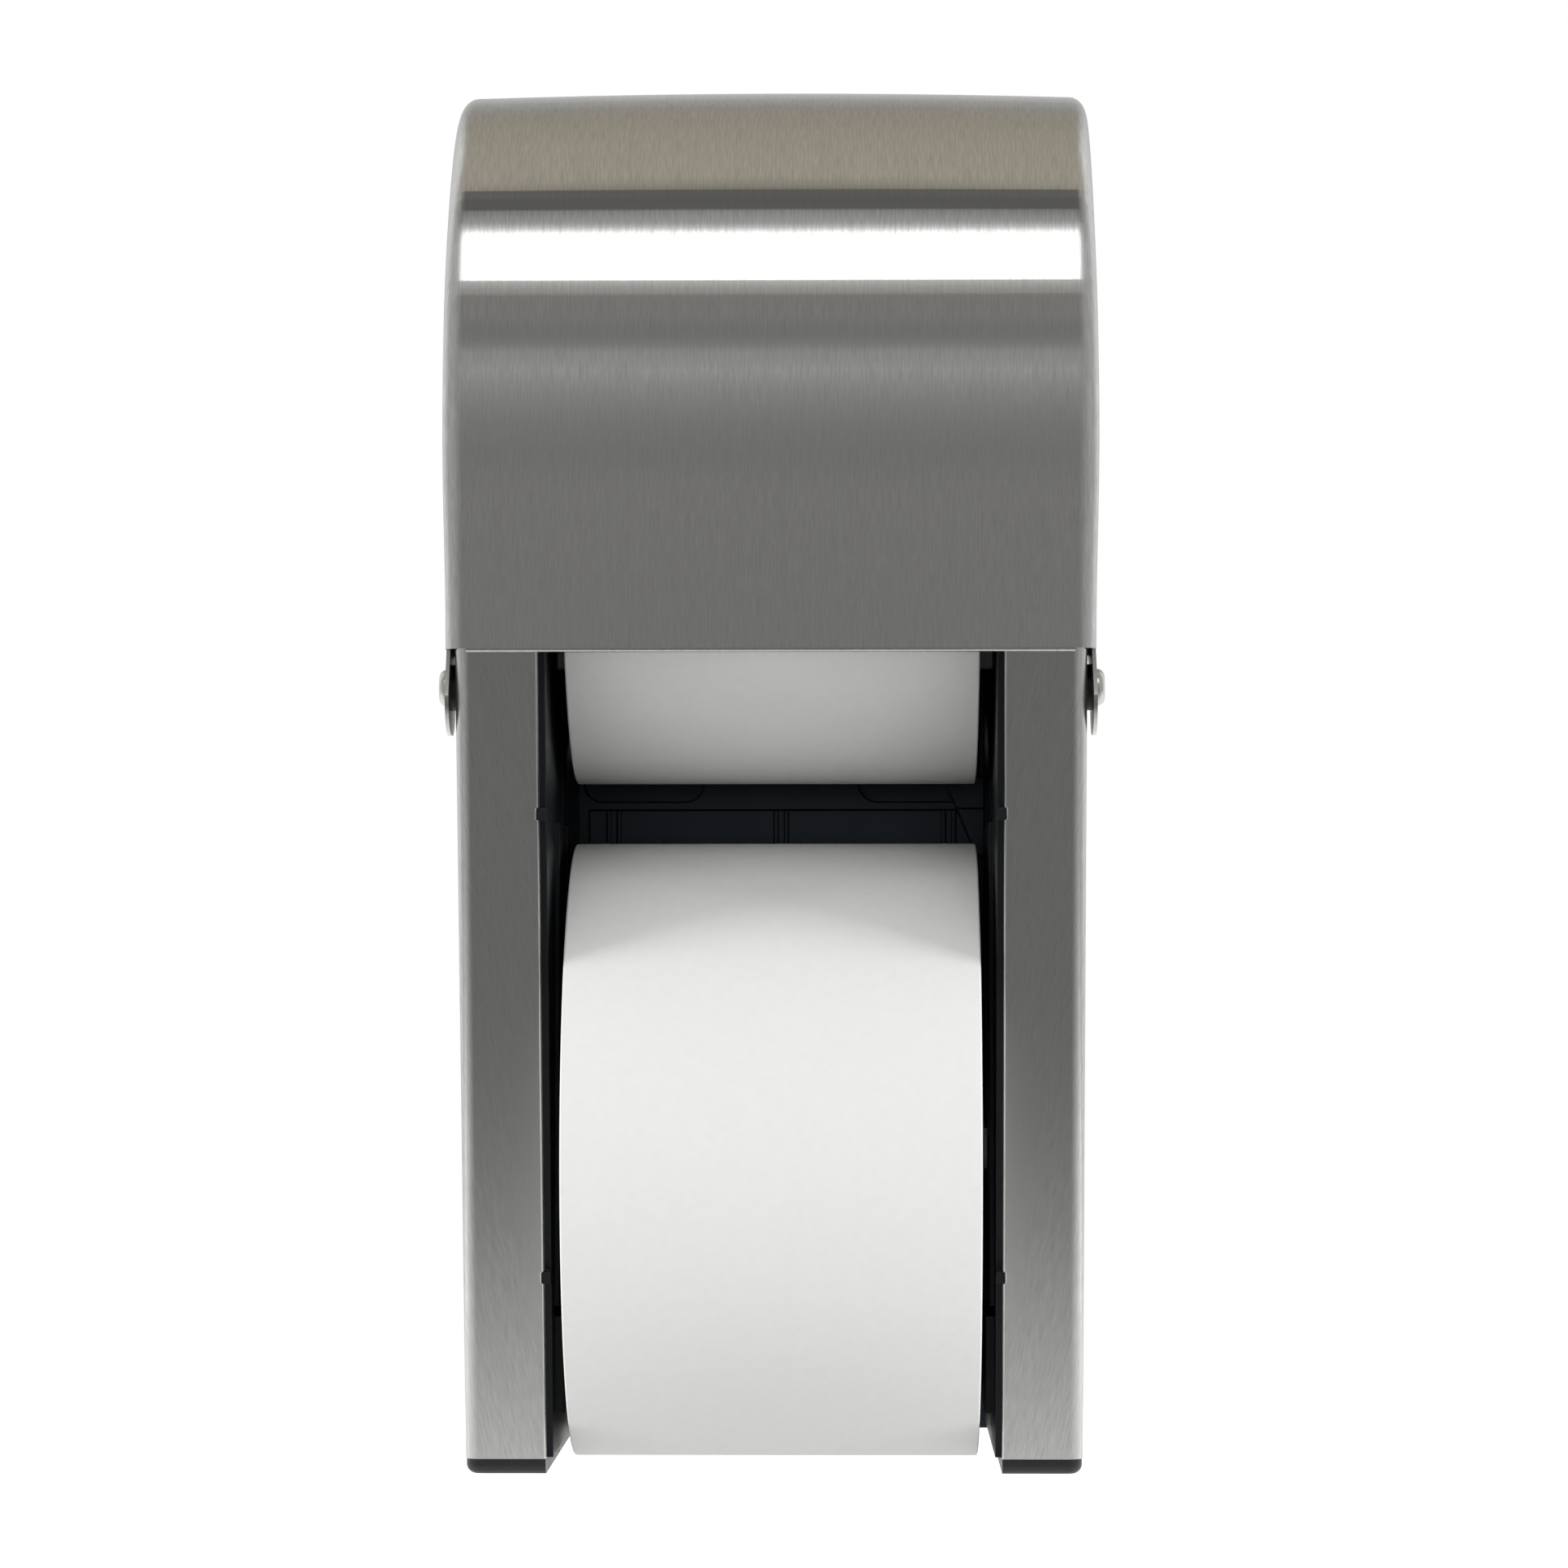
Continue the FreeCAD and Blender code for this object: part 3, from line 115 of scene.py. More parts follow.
# Lock striker: a tongue of zinc-plated steel, bent and riveted to the back frame, for the cam to turn under.
# The plating is dull and faintly streaked from the rolling of the sheet. The streaks are drawn a few times
# too coarse, so that they show.
plain_steel, tree = new_material("zinc-plated steel")
place = add(tree, "TexCoord").outputs["Object"]
rolled = add(tree, "Mapping", {"Vector": place, "Scale": (1000 / 0.6, 1000 / 0.6, 1000 / 5)}).outputs[0]
streak = add(tree, "TexNoise", {"Vector": rolled, "Scale": 1, "Detail": 2}).outputs[0]
dark, pale = linear("#BCBCB9"), linear("#D2D2CF")
colour = add(tree, "Mix", {"Factor": streak, COLOUR_A: dark, COLOUR_B: pale}, data_type="RGBA").outputs[MIXED]
gloss = add(tree, "MapRange", {
    "Value": streak, "From Min": 0.3, "From Max": 0.7, "To Min": 0.24, "To Max": 0.36}).outputs[0]
surface = add(tree, "BsdfPrincipled", {"Base Color": colour, "Metallic": 1, "Roughness": gloss})
add(tree, "OutputMaterial", {"Surface": surface.outputs[0]})
coat(plain_steel, "lock_striker", "striker_rivets")

# Side frames: box uprights moulded in ABS, with the slot that guides the roll hubs.
# Each is held to the back frame by four steel tapping screws driven from the wall side.
# Their mould was blasted, which leaves a duller and blacker satin than the tray's, with the same eased edges.
faint_gloss = {"Specular IOR Level": 0.25}
satin_abs = textured_abs("moulded satin black ABS", ("#14171A", "#171B1E"), (0.34, 0.44), faint_gloss)
coat(satin_abs, "left_side_frame", "right_side_frame")
coat(plain_steel, "side_frame_screws")

# Drop catches: levers moulded in grey acetal that carry the reserve roll until they are pushed aside.
# Each turns on a steel pin in its side frame and is pressed inwards by a small torsion spring.
# The plastic is smooth and faintly uneven from its flow in the mould.


def smooth_finish(name, patch, shades, dullness, metallic=0):
    """A smooth surface whose shade and gloss wander a little, over patches of a size in millimetres."""
    material, tree = new_material(name)
    place = add(tree, "TexCoord").outputs["Object"]
    flow = add(tree, "TexNoise", {"Vector": place, "Scale": 1000 / patch, "Detail": 2}).outputs[0]
    dark, pale = (linear(shade) for shade in shades)
    colour = add(tree, "Mix", {
        "Factor": flow, COLOUR_A: dark, COLOUR_B: pale}, data_type="RGBA").outputs[MIXED]
    gloss = add(tree, "MapRange", {
        "Value": flow, "From Min": 0.3, "From Max": 0.7,
        "To Min": dullness[0], "To Max": dullness[1]}).outputs[0]
    surface = add(tree, "BsdfPrincipled", {"Base Color": colour, "Metallic": metallic, "Roughness": gloss})
    add(tree, "OutputMaterial", {"Surface": surface.outputs[0]})
    return material


grey_acetal = smooth_finish("moulded grey acetal", 6, ("#D0D1D0", "#DADBDA"), (0.32, 0.44))
coat(grey_acetal, "left_drop_catch", "right_drop_catch")
coat(plain_steel, "left_catch_pin", "right_catch_pin", "left_catch_spring", "right_catch_spring")

# Rail covers: channels folded from brushed stainless sheet and snapped over the side frames' leaning fronts.
# Each has a rounded outer corner, a flange along the outside and a narrow lip inside with two notches.
# The sheet was brushed before it was cut, so the grain leans outwards towards the top.
brushed, tree = new_material("brushed stainless steel")
# Long scratches spread a reflection across the grain and keep it sharp along it; their real width of a few
# hundredths of a millimetre is drawn some fifteen times coarser, so that it shows.
along_grain = add(tree, "UVMap", uv_map="grain").outputs[0]
scratch_size = add(tree, "Mapping", {"Vector": along_grain, "Scale": (1000 / 0.45, 1000 / 5, 1)}).outputs[0]
scratches = add(tree, "TexNoise", {"Vector": scratch_size, "Scale": 1, "Detail": 3}).outputs[0]
band_size = add(tree, "Mapping", {"Vector": along_grain, "Scale": (1000 / 1.8, 1000 / 30, 1)}).outputs[0]
bands = add(tree, "TexNoise", {"Vector": band_size, "Scale": 1, "Detail": 2}).outputs[0]
wear = add(tree, "Mix", {"Factor": 0.25, "A": scratches, "B": bands}, data_type="FLOAT").outputs[0]
wear = add(tree, "MapRange", {"Value": wear, "From Min": 0.3, "From Max": 0.7}).outputs[0]
dark, pale = linear("#BDBDBB"), linear("#D5D5D3")
colour = add(tree, "Mix", {"Factor": wear, COLOUR_A: dark, COLOUR_B: pale}, data_type="RGBA").outputs[MIXED]
gloss = add(tree, "MapRange", {"Value": wear, "To Min": 0.25, "To Max": 0.2}).outputs[0]
relief = add(tree, "Bump", {"Height": scratches, "Strength": 0.12, "Distance": 0.01 / 1000}).outputs[0]
grain_turn = add(tree, "Tangent", direction_type="UV_MAP", uv_map="grain").outputs[0]
surface = add(tree, "BsdfPrincipled", {
    "Base Color": colour, "Metallic": 1, "Roughness": gloss, "Anisotropic": 0.95,
    "Tangent": grain_turn, "Normal": relief})
add(tree, "OutputMaterial", {"Surface": surface.outputs[0]})
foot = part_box("left_foot_cap")[0].z


def spot(x, y, height):
    """A point given in millimetres, in the frame of the solids."""
    return Vector((x / 1000, y / 1000, height / 1000 + foot))


def measured(point):
    """A point of the frame as x, y and height in millimetres."""
    return 1000 * point.x, 1000 * point.y, 1000 * (point.z - foot)


def corners_of(solid):
    """The lowest and highest corner of a solid's box, each as x, y and height in millimetres."""
    return [measured(corner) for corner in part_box(solid)]


def rounded(mesh, geom, radius, segments, affect="EDGES"):
    """Rounds edges or corners of a mesh to a radius in millimetres."""
    bmesh.ops.bevel(mesh, geom=geom, offset=radius / 1000, offset_type="OFFSET", segments=segments,
                    profile=0.5, affect=affect, material=-1)
    mesh.normal_update()


def slice_through(mesh, point, across):
    """Cuts a row of edges through a mesh where a plane crosses it."""
    everything = mesh.verts[:] + mesh.edges[:] + mesh.faces[:]
    bmesh.ops.bisect_plane(mesh, geom=everything, dist=1e-6, plane_co=point, plane_no=across)


def shown(name, mesh, materials):
    """Puts a finished mesh into the scene."""
    data = bpy.data.meshes.new(name)
    mesh.to_mesh(data)
    mesh.free()
    for material in materials:
        data.materials.append(material)
    item = bpy.data.objects.new(name, data)
    bpy.context.scene.collection.objects.link(item)
    return item


def piece(name, mesh, materials, body, stands_for):
    """Puts a finished mesh on its body, in place of the solid it stands for."""
    for face in mesh.faces:
        face.smooth = True
    item = shown(name, mesh, materials)
    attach(item, body)
    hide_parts(stands_for)
    return item


# An edge that turns by more than CUT_ANGLE is a cut one and loses a burr of this width.
BURR, CUT_ANGLE = 0.2, math.radians(50)


def as_sheet(item, thickness):
    """Gives a skin its thickness towards the inside and takes the burr off its cut edges."""
    walls = item.modifiers.new("sheet", "SOLIDIFY")
    walls.thickness = thickness / 1000
    walls.offset = -1
    burr = item.modifiers.new("deburred edges", "BEVEL")
    burr.width = BURR / 1000
    burr.segments = 2
    burr.limit_method = "ANGLE"
    burr.angle_limit = CUT_ANGLE
    flats = item.modifiers.new("true flats", "WEIGHTED_NORMAL")
    flats.keep_sharp = False


(RAIL_INNER, RAIL_TOP_FRONT, RAIL_LOW), (RAIL_OUTER, FLANGE_REAR, RAIL_TOP) = corners_of("right_rail_cover")
RAIL_LEAN, RAIL_SHEET, LIP, OUTER_ROUND, INNER_ROUND = 0.1946, 0.9, 5.0, 3.6, 0.5
RAIL_FRONT = RAIL_TOP_FRONT + RAIL_LEAN * (RAIL_TOP - RAIL_LOW)
RAIL_MIDDLE = (RAIL_INNER + RAIL_OUTER) / 2
NOTCHES, NOTCH_HEIGHT, NOTCH_DEPTH, NOTCH_RAMP, NOTCH_REACH = (46.4, 157.32), 3.0, 0.5, 0.25, 1.3
GRAIN_TILT = math.radians(12)
# A point within NEAR millimetres of an edge lies on it, and a face with more than FACING of its normal along
# an axis looks that way.
NEAR, FACING = 0.1, 0.9
for word in ("left", "right"):
    mesh = bmesh.new()
    bmesh.ops.create_cube(mesh, size=1)
    for corner in mesh.verts:
        height = RAIL_TOP if corner.co.z > 0 else RAIL_LOW
        lean_front = RAIL_FRONT - RAIL_LEAN * (height - RAIL_LOW)
        corner.co = spot(RAIL_OUTER if corner.co.x > 0 else RAIL_INNER,
                         lean_front if corner.co.y < 0 else FLANGE_REAR, height)
    mesh.normal_update()
    for edge_x, radius, segments in ((RAIL_OUTER, OUTER_ROUND, 9), (RAIL_INNER, INNER_ROUND, 4)):
        fold = [edge for edge in mesh.edges if all(
            abs(1000 * vert.co.x - edge_x) < NEAR and 1000 * vert.co.y < RAIL_FRONT + NEAR
            for vert in edge.verts)]
        rounded(mesh, fold, radius, segments)
    bmesh.ops.delete(mesh, context="FACES", geom=[
        face for face in mesh.faces if abs(face.normal.z) > FACING or face.normal.y > FACING])
    lip_edge = spot(0, RAIL_FRONT + LIP, RAIL_LOW)
    to_wall = Vector((0, 1, RAIL_LEAN)).normalized()
    slice_through(mesh, lip_edge, to_wall)
    mesh.normal_update()
    bmesh.ops.delete(mesh, context="FACES", geom=[
        face for face in mesh.faces
        if face.normal.x < -FACING and (face.calc_center_median() - lip_edge).dot(to_wall) > 0])
    for notch in NOTCHES:
        for rise in (0, NOTCH_RAMP, NOTCH_HEIGHT - NOTCH_RAMP, NOTCH_HEIGHT):
            slice_through(mesh, spot(0, 0, notch + rise), Vector((0, 0, 1)))
        dented = [vert for vert in mesh.verts if 1000 * vert.co.x < RAIL_INNER + NOTCH_REACH
                  and notch + NEAR < 1000 * (vert.co.z - foot) < notch + NOTCH_HEIGHT - NEAR]
        bmesh.ops.translate(mesh, verts=dented, vec=Vector((NOTCH_DEPTH / 1000, 0, 0)))
    grain = mesh.loops.layers.uv.new("grain")
    for face in mesh.faces:
        for loop in face.loops:
            x, y, height = measured(loop.vert.co)
            depth = y - RAIL_FRONT + RAIL_LEAN * (height - RAIL_LOW)
            across = x + depth if x > RAIL_MIDDLE else x - depth
            loop[grain].uv = ((across * math.cos(GRAIN_TILT) - height * math.sin(GRAIN_TILT)) / 1000,
                              (across * math.sin(GRAIN_TILT) + height * math.cos(GRAIN_TILT)) / 1000)
    if word == "left":
        bmesh.ops.scale(mesh, verts=mesh.verts, vec=(-1, 1, 1))
        bmesh.ops.reverse_faces(mesh, faces=mesh.faces)
    rail = piece(f"{word}_rail", mesh, [brushed], "frame", f"{word}_rail_cover")
    as_sheet(rail, RAIL_SHEET)

# Foot caps: small ABS mouldings that close the rails' lower ends, each held by one screw from below.
# Their plastic is a neutral black without the frames' bluish cast, smoother but a little duller.
cap_abs = smooth_finish("moulded neutral black ABS", 5, ("#191A1B", "#202122"), (0.36, 0.46))
coat(cap_abs, "left_foot_cap", "right_foot_cap")
coat(plain_steel, "foot_cap_screws")

# Pivots: domed steel shoulder rivets on which the hood swings.
# A moulded bush of black nylon behind each ear, smooth and rather dull, keeps the hood clear of the rail.
coat(plain_steel, "left_pivot_rivet", "right_pivot_rivet")
black_nylon = smooth_finish("moulded black nylon", 5, ("#1B1B1A", "#232322"), (0.38, 0.5))
coat(black_nylon, "left_pivot_bush", "right_pivot_bush")

# Hood: one sheet of the same stainless, brushed up the front and over the bend, and open behind and below.
# An ear below each cheek hangs on the pivot, and the lower front edge is turned in as a hem. Forming left the
# cheeks widest at half height, the bend crowned, and the front below it dished, which mirrors a paler stripe.
(LEFT, FRONT, EAR_LOW), (RIGHT, REAR, HOOD_TOP) = corners_of("hood")
SKIRT, BEND, EDGE_ROUND, SHEET = 197.42, 62.016, 4.8, 0.9
PIVOT_DEPTH, EAR_HALF, EAR_ROUND = -149.0, 11.3, 9.5
EAR_FRONT, EAR_REAR = PIVOT_DEPTH - EAR_HALF, PIVOT_DEPTH + EAR_HALF
# The cheeks swell at the height WIDEST and draw in above and below it, the bend rises by CROWN in its middle,
# and the front sinks by DISH over the first stretch below the bend.
WIDEST, SWELL, DRAW_UP, DRAW_RUN, DRAW_DOWN = 250, 0.4, 1.1, 75, 0.85
CROWN, CROWN_HALF, CROWN_LOW, CROWN_RISE, CROWN_REAR, CROWN_RUN = 1.1, 72, 300, 30, -58, 45
DISH, DISH_RUN, DISH_DROP = 0.8, 30, 5
DISH_TOP = HOOD_TOP - BEND - DISH_DROP
ROWS, LAST_COLUMN, COLUMN_PITCH = 32, 60, 15
CHEEK_FACING = 0.7


def share(value):
    """Holds a value between 0 and 1."""
    return min(max(value, 0), 1)


mesh = bmesh.new()
bmesh.ops.create_cube(mesh, size=1)
for corner in mesh.verts:
    corner.co = spot(RIGHT if corner.co.x > 0 else LEFT, FRONT if corner.co.y < 0 else REAR,
                     HOOD_TOP if corner.co.z > 0 else SKIRT)
mesh.normal_update()
front_top = [edge for edge in mesh.edges if all(
    1000 * vert.co.y < FRONT + NEAR and 1000 * (vert.co.z - foot) > HOOD_TOP - NEAR for vert in edge.verts)]
rounded(mesh, front_top, BEND, segments=ROWS)
bmesh.ops.delete(mesh, context="FACES", geom=[
    face for face in mesh.faces if face.normal.y > FACING or face.normal.z < -FACING])
cheek_edges = [edge for edge in mesh.edges if len(edge.link_faces) == 2
               and max(abs(face.normal.x) for face in edge.link_faces) > FACING
               and min(abs(face.normal.x) for face in edge.link_faces) < 1 - FACING]
rounded(mesh, cheek_edges, EDGE_ROUND, segments=7)
for row in range(1, ROWS):
    slice_through(mesh, spot(0, 0, SKIRT + (HOOD_TOP - SKIRT) * row / ROWS), Vector((0, 0, 1)))
for column in range(-LAST_COLUMN, LAST_COLUMN + 1, COLUMN_PITCH):
    slice_through(mesh, spot(column, 0, 0), Vector((1, 0, 0)))
for depth in (EAR_FRONT, EAR_REAR):
    slice_through(mesh, spot(0, depth, 0), Vector((0, 1, 0)))
for side in (-1, 1):
    ear_root = [edge for edge in mesh.edges if edge.is_boundary and all(
        1000 * side * vert.co.x > RIGHT - NEAR and 1000 * (vert.co.z - foot) < SKIRT + NEAR
        and EAR_FRONT - NEAR < 1000 * vert.co.y < EAR_REAR + NEAR for vert in edge.verts)]
    hung = bmesh.ops.extrude_edge_only(mesh, edges=ear_root)["geom"]
    corners = [item for item in hung if isinstance(item, bmesh.types.BMVert)]
    bmesh.ops.translate(mesh, verts=corners, vec=Vector((0, 0, (EAR_LOW - SKIRT) / 1000)))
    rounded(mesh, corners, EAR_ROUND, segments=8, affect="VERTICES")
grain = mesh.loops.layers.uv.new("grain")
for face in mesh.faces:
    for loop in face.loops:
        x, y, height = measured(loop.vert.co)
        if abs(face.normal.x) > CHEEK_FACING:
            loop[grain].uv = (y / 1000, height / 1000)
        else:
            turn = math.atan2(max(height - HOOD_TOP + BEND, 0), max(FRONT + BEND - y, 0))
            run = min(height, HOOD_TOP - BEND) + BEND * turn + max(y - FRONT - BEND, 0)
            loop[grain].uv = (x / 1000, run / 1000)
for vert in mesh.verts:
    x, y, height = measured(vert.co)
    cheek = share((abs(x) - RIGHT) / EDGE_ROUND + 1)
    if height > WIDEST:
        bow = SWELL - DRAW_UP * math.sin(math.pi / 2 * share((height - WIDEST) / DRAW_RUN)) ** 2
    elif height > SKIRT - NEAR:
        bow = SWELL - DRAW_DOWN * math.sin(math.pi / 2 * (WIDEST - height) / (WIDEST - SKIRT)) ** 2
    else:
        bow = 0
    on_bend = share((height - CROWN_LOW) / CROWN_RISE) * share((CROWN_REAR - y) / CROWN_RUN)
    crown = share(1 - (x / CROWN_HALF) ** 2) * on_bend
    below = share((DISH_TOP - height) / DISH_RUN)
    dish = share(min(below * (2 - below), (height - SKIRT) / (DISH_TOP - DISH_RUN - SKIRT)))
    on_front = share((FRONT - y) / EDGE_ROUND + 1)
    vert.co += Vector((math.copysign(1, x) * bow * cheek, DISH * dish * on_front, CROWN * crown)) / 1000
hood = piece("hood_sheet", mesh, [brushed], "hood", "hood")
as_sheet(hood, SHEET)
HEM_HALF, HEM_RISE = 71.6, 4.1
mesh = bmesh.new()
ends = [mesh.verts.new(spot(x, FRONT, SKIRT)) for x in (-HEM_HALF, HEM_HALF)]
curl = bmesh.ops.spin(mesh, geom=ends + [mesh.edges.new(ends)], cent=spot(0, FRONT + SHEET, SKIRT),
                      axis=(1, 0, 0), angle=math.pi, steps=9)
inner_edge = [item for item in curl["geom_last"] if isinstance(item, bmesh.types.BMEdge)]
raised = bmesh.ops.extrude_edge_only(mesh, edges=inner_edge)["geom"]
bmesh.ops.translate(mesh, verts=[item for item in raised if isinstance(item, bmesh.types.BMVert)],
                    vec=Vector((0, 0, HEM_RISE / 1000)))
bmesh.ops.recalc_face_normals(mesh, faces=mesh.faces)
grain = mesh.loops.layers.uv.new("grain")
for face in mesh.faces:
    for loop in face.loops:
        loop[grain].uv = (loop.vert.co.x, loop.vert.co.y - loop.vert.co.z)
piece("hood_hem", mesh, [brushed], "hood", "hood")

# Key lock: a chrome-plated barrel clamped in the hood's top by a nut, with a plug that turns the steel cam.
# Chrome is close to a mirror, with only the faint haze of handling.
lock_chrome = smooth_finish("chrome plating", 3, ("#D3D4D6", "#DFE0E1"), (0.08, 0.16), metallic=1)
coat(lock_chrome, "lock_barrel", "lock_nut", "lock_plug")
coat(plain_steel, "lock_cam", "cam_screw")

# Roll hubs: tapered plugs of the catches' grey acetal, pushed into both ends of each roll.
# Each has a flange against the paper and a journal that runs in the guide slot of its side frame.
coat(grey_acetal, "upper_left_hub", "upper_right_hub", "lower_left_hub", "lower_right_hub")

# Rolls: white tissue wound without a core, soft at its edges and hung by its hubs in the guide slots.
# The tissue is matt and lightly embossed; at the ends the edges of its layers show as fine rings, which are
# drawn a few layers thick.
tissue, tree = new_material("embossed tissue")
wrap_place = add(tree, "UVMap", uv_map="wrap").outputs[0]
dots = add(tree, "TexVoronoi", {"Vector": wrap_place, "Scale": 1000 / 2.2}, feature="SMOOTH_F1").outputs[0]
fibres = add(tree, "TexNoise", {"Vector": wrap_place, "Scale": 1000 / 0.5, "Detail": 2}).outputs[0]
crepe = add(tree, "Mix", {"Factor": 0.35, "A": dots, "B": fibres}, data_type="FLOAT").outputs[0]
dark, pale = linear("#EFEFEE"), linear("#F4F4F3")
colour = add(tree, "Mix", {"Factor": crepe, COLOUR_A: dark, COLOUR_B: pale}, data_type="RGBA").outputs[MIXED]
relief = add(tree, "Bump", {"Height": crepe, "Strength": 0.3, "Distance": 0.15 / 1000}).outputs[0]
surface = add(tree, "BsdfPrincipled", {"Base Color": colour, "Roughness": 0.95, "Normal": relief})
add(tree, "OutputMaterial", {"Surface": surface.outputs[0]})
layers, tree = new_material("edges of tissue layers")
wrap_place = add(tree, "UVMap", uv_map="wrap").outputs[0]
ring_size = add(tree, "Mapping", {"Vector": wrap_place, "Scale": (1000 / 0.5, 1000 / 80, 1)}).outputs[0]
rings = add(tree, "TexNoise", {"Vector": ring_size, "Scale": 1, "Detail": 3}).outputs[0]
dark, pale = linear("#DADAD8"), linear("#F2F2F0")
colour = add(tree, "Mix", {"Factor": rings, COLOUR_A: dark, COLOUR_B: pale}, data_type="RGBA").outputs[MIXED]
relief = add(tree, "Bump", {"Height": rings, "Strength": 0.5, "Distance": 0.3 / 1000}).outputs[0]
surface = add(tree, "BsdfPrincipled", {"Base Color": colour, "Roughness": 0.95, "Normal": relief})
add(tree, "OutputMaterial", {"Surface": surface.outputs[0]})
ROLL_HOLE, RIM_ROUND = 9.2, 0.5
for level in ("upper", "lower"):
    (left, front, low), (right, rear, top) = corners_of(f"{level}_roll")
    radius = (rear - front) / 2
    middle = spot(0, (front + rear) / 2, (low + top) / 2)
    mesh = bmesh.new()
    section = [mesh.verts.new(middle + Vector((x, away, 0)) / 1000) for x, away in (
        (right, ROLL_HOLE), (right, radius), (left, radius), (left, ROLL_HOLE))]
    sides = [mesh.edges.new((section[number - 1], section[number])) for number in range(len(section))]
    bmesh.ops.spin(mesh, geom=section + sides, cent=middle, axis=(1, 0, 0), angle=2 * math.pi, steps=160,
                   use_merge=True)
    bmesh.ops.remove_doubles(mesh, verts=mesh.verts, dist=1e-6)
    bmesh.ops.recalc_face_normals(mesh, faces=mesh.faces)
    rims = []
    for edge in mesh.edges:
        first, second = (1000 * (vert.co - middle) for vert in edge.verts)
        if abs(first.x - second.x) < NEAR and min(first.yz.length, second.yz.length) > radius - NEAR:
            rims.append(edge)
    rounded(mesh, rims, RIM_ROUND, segments=3)
    wrap = mesh.loops.layers.uv.new("wrap")
    for face in mesh.faces:
        face.material_index = 1 if abs(face.normal.x) > FACING else 0
        centre = face.calc_center_median() - middle
        facing = math.atan2(centre.z, centre.y)
        for loop in face.loops:
            away = loop.vert.co - middle
            turn = facing + math.remainder(math.atan2(away.z, away.y) - facing, 2 * math.pi)
            loop[wrap].uv = (away.yz.length if face.material_index else away.x, turn * radius / 1000)
    piece(f"{level}_paper", mesh, [tissue, layers], f"{level}_roll", f"{level}_roll")

# Studio floor: a pale board below the object, which hangs clear of it and leaves its shadow there.
# What the camera and the metal see of it is lifted to the white of the backdrop, and in the metal its front
# edge melts away into the grey of the room.
LIFT, FADE_FRONT, FADE_REAR = 0.6, -0.51, 0.06
floor_paint, tree = new_material("pale studio board")
place = add(tree, "TexCoord").outputs["Object"]
cloud = add(tree, "TexNoise", {"Vector": place, "Scale": 1000 / 300}).outputs[0]
dark, pale = linear("#E4E4E4"), linear("#E8E8E8")
colour = add(tree, "Mix", {"Factor": cloud, COLOUR_A: dark, COLOUR_B: pale}, data_type="RGBA").outputs[MIXED]
board = add(tree, "BsdfDiffuse", {"Color": colour}).outputs[0]
path = add(tree, "LightPath").outputs
seen = add(tree, "Math", {0: path["Is Camera Ray"], 1: path["Is Glossy Ray"]}, operation="MAXIMUM").outputs[0]
seen = add(tree, "Math", {0: seen, 1: path["Is Transmission Ray"]}, operation="MAXIMUM").outputs[0]
lift = add(tree, "Math", {0: seen, 1: LIFT}, operation="MULTIPLY").outputs[0]
glow = add(tree, "Emission", {"Strength": lift}).outputs[0]
lit_board = add(tree, "AddShader", {0: board, 1: glow}).outputs[0]
depth = add(tree, "SeparateXYZ", {0: place}).outputs["Y"]
fade = add(tree, "MapRange", {"Value": depth, "From Min": FADE_FRONT, "From Max": FADE_REAR},
           interpolation_type="SMOOTHSTEP").outputs[0]
plain = add(tree, "Math", {0: 1, 1: path["Is Glossy Ray"]}, operation="SUBTRACT").outputs[0]
board_share = add(tree, "Math", {0: fade, 1: plain}, operation="MAXIMUM").outputs[0]
clear = add(tree, "BsdfTransparent").outputs[0]
surface = add(tree, "MixShader", {0: board_share, 1: clear, 2: lit_board})
add(tree, "OutputMaterial", {"Surface": surface.outputs[0]})
# The board's width and depth in metres, and how far its middle lies behind the wall's plane and below the
# foot, in millimetres.
BOARD_WIDTH, BOARD_DEPTH, BOARD_BACK, BOARD_DROP = 1.6, 1.3, 120, 60
mesh = bmesh.new()
bmesh.ops.create_grid(mesh, x_segments=1, y_segments=1, size=0.5)
bmesh.ops.scale(mesh, verts=mesh.verts, vec=(BOARD_WIDTH, BOARD_DEPTH, 1))
bmesh.ops.translate(mesh, verts=mesh.verts, vec=spot(0, BOARD_BACK, -BOARD_DROP))
floor = shown("floor", mesh, [floor_paint])

# Studio room: grey walls and a dark ceiling gap that the brushed steel mirrors as soft level bands.
# The walls at both sides are paler, with the white of the backdrop behind them.
# The camera itself sees plain white everywhere.
world = bpy.data.worlds.new("studio room")
bpy.context.scene.world = world
world.use_nodes = True
tree = world.node_tree
tree.nodes.clear()
toward = add(tree, "SeparateXYZ", {0: add(tree, "TexCoord").outputs["Generated"]}).outputs
ahead = add(tree, "Math", {0: toward["Y"], 1: -1}, operation="MULTIPLY").outputs[0]
lifted = add(tree, "Math", {0: toward["Z"], 1: ahead}, operation="ARCTAN2").outputs[0]
turn_share = add(tree, "MapRange", {"Value": lifted, "From Min": -math.pi, "From Max": math.pi}).outputs[0]
walls = add(tree, "ValToRGB", {"Fac": turn_share})
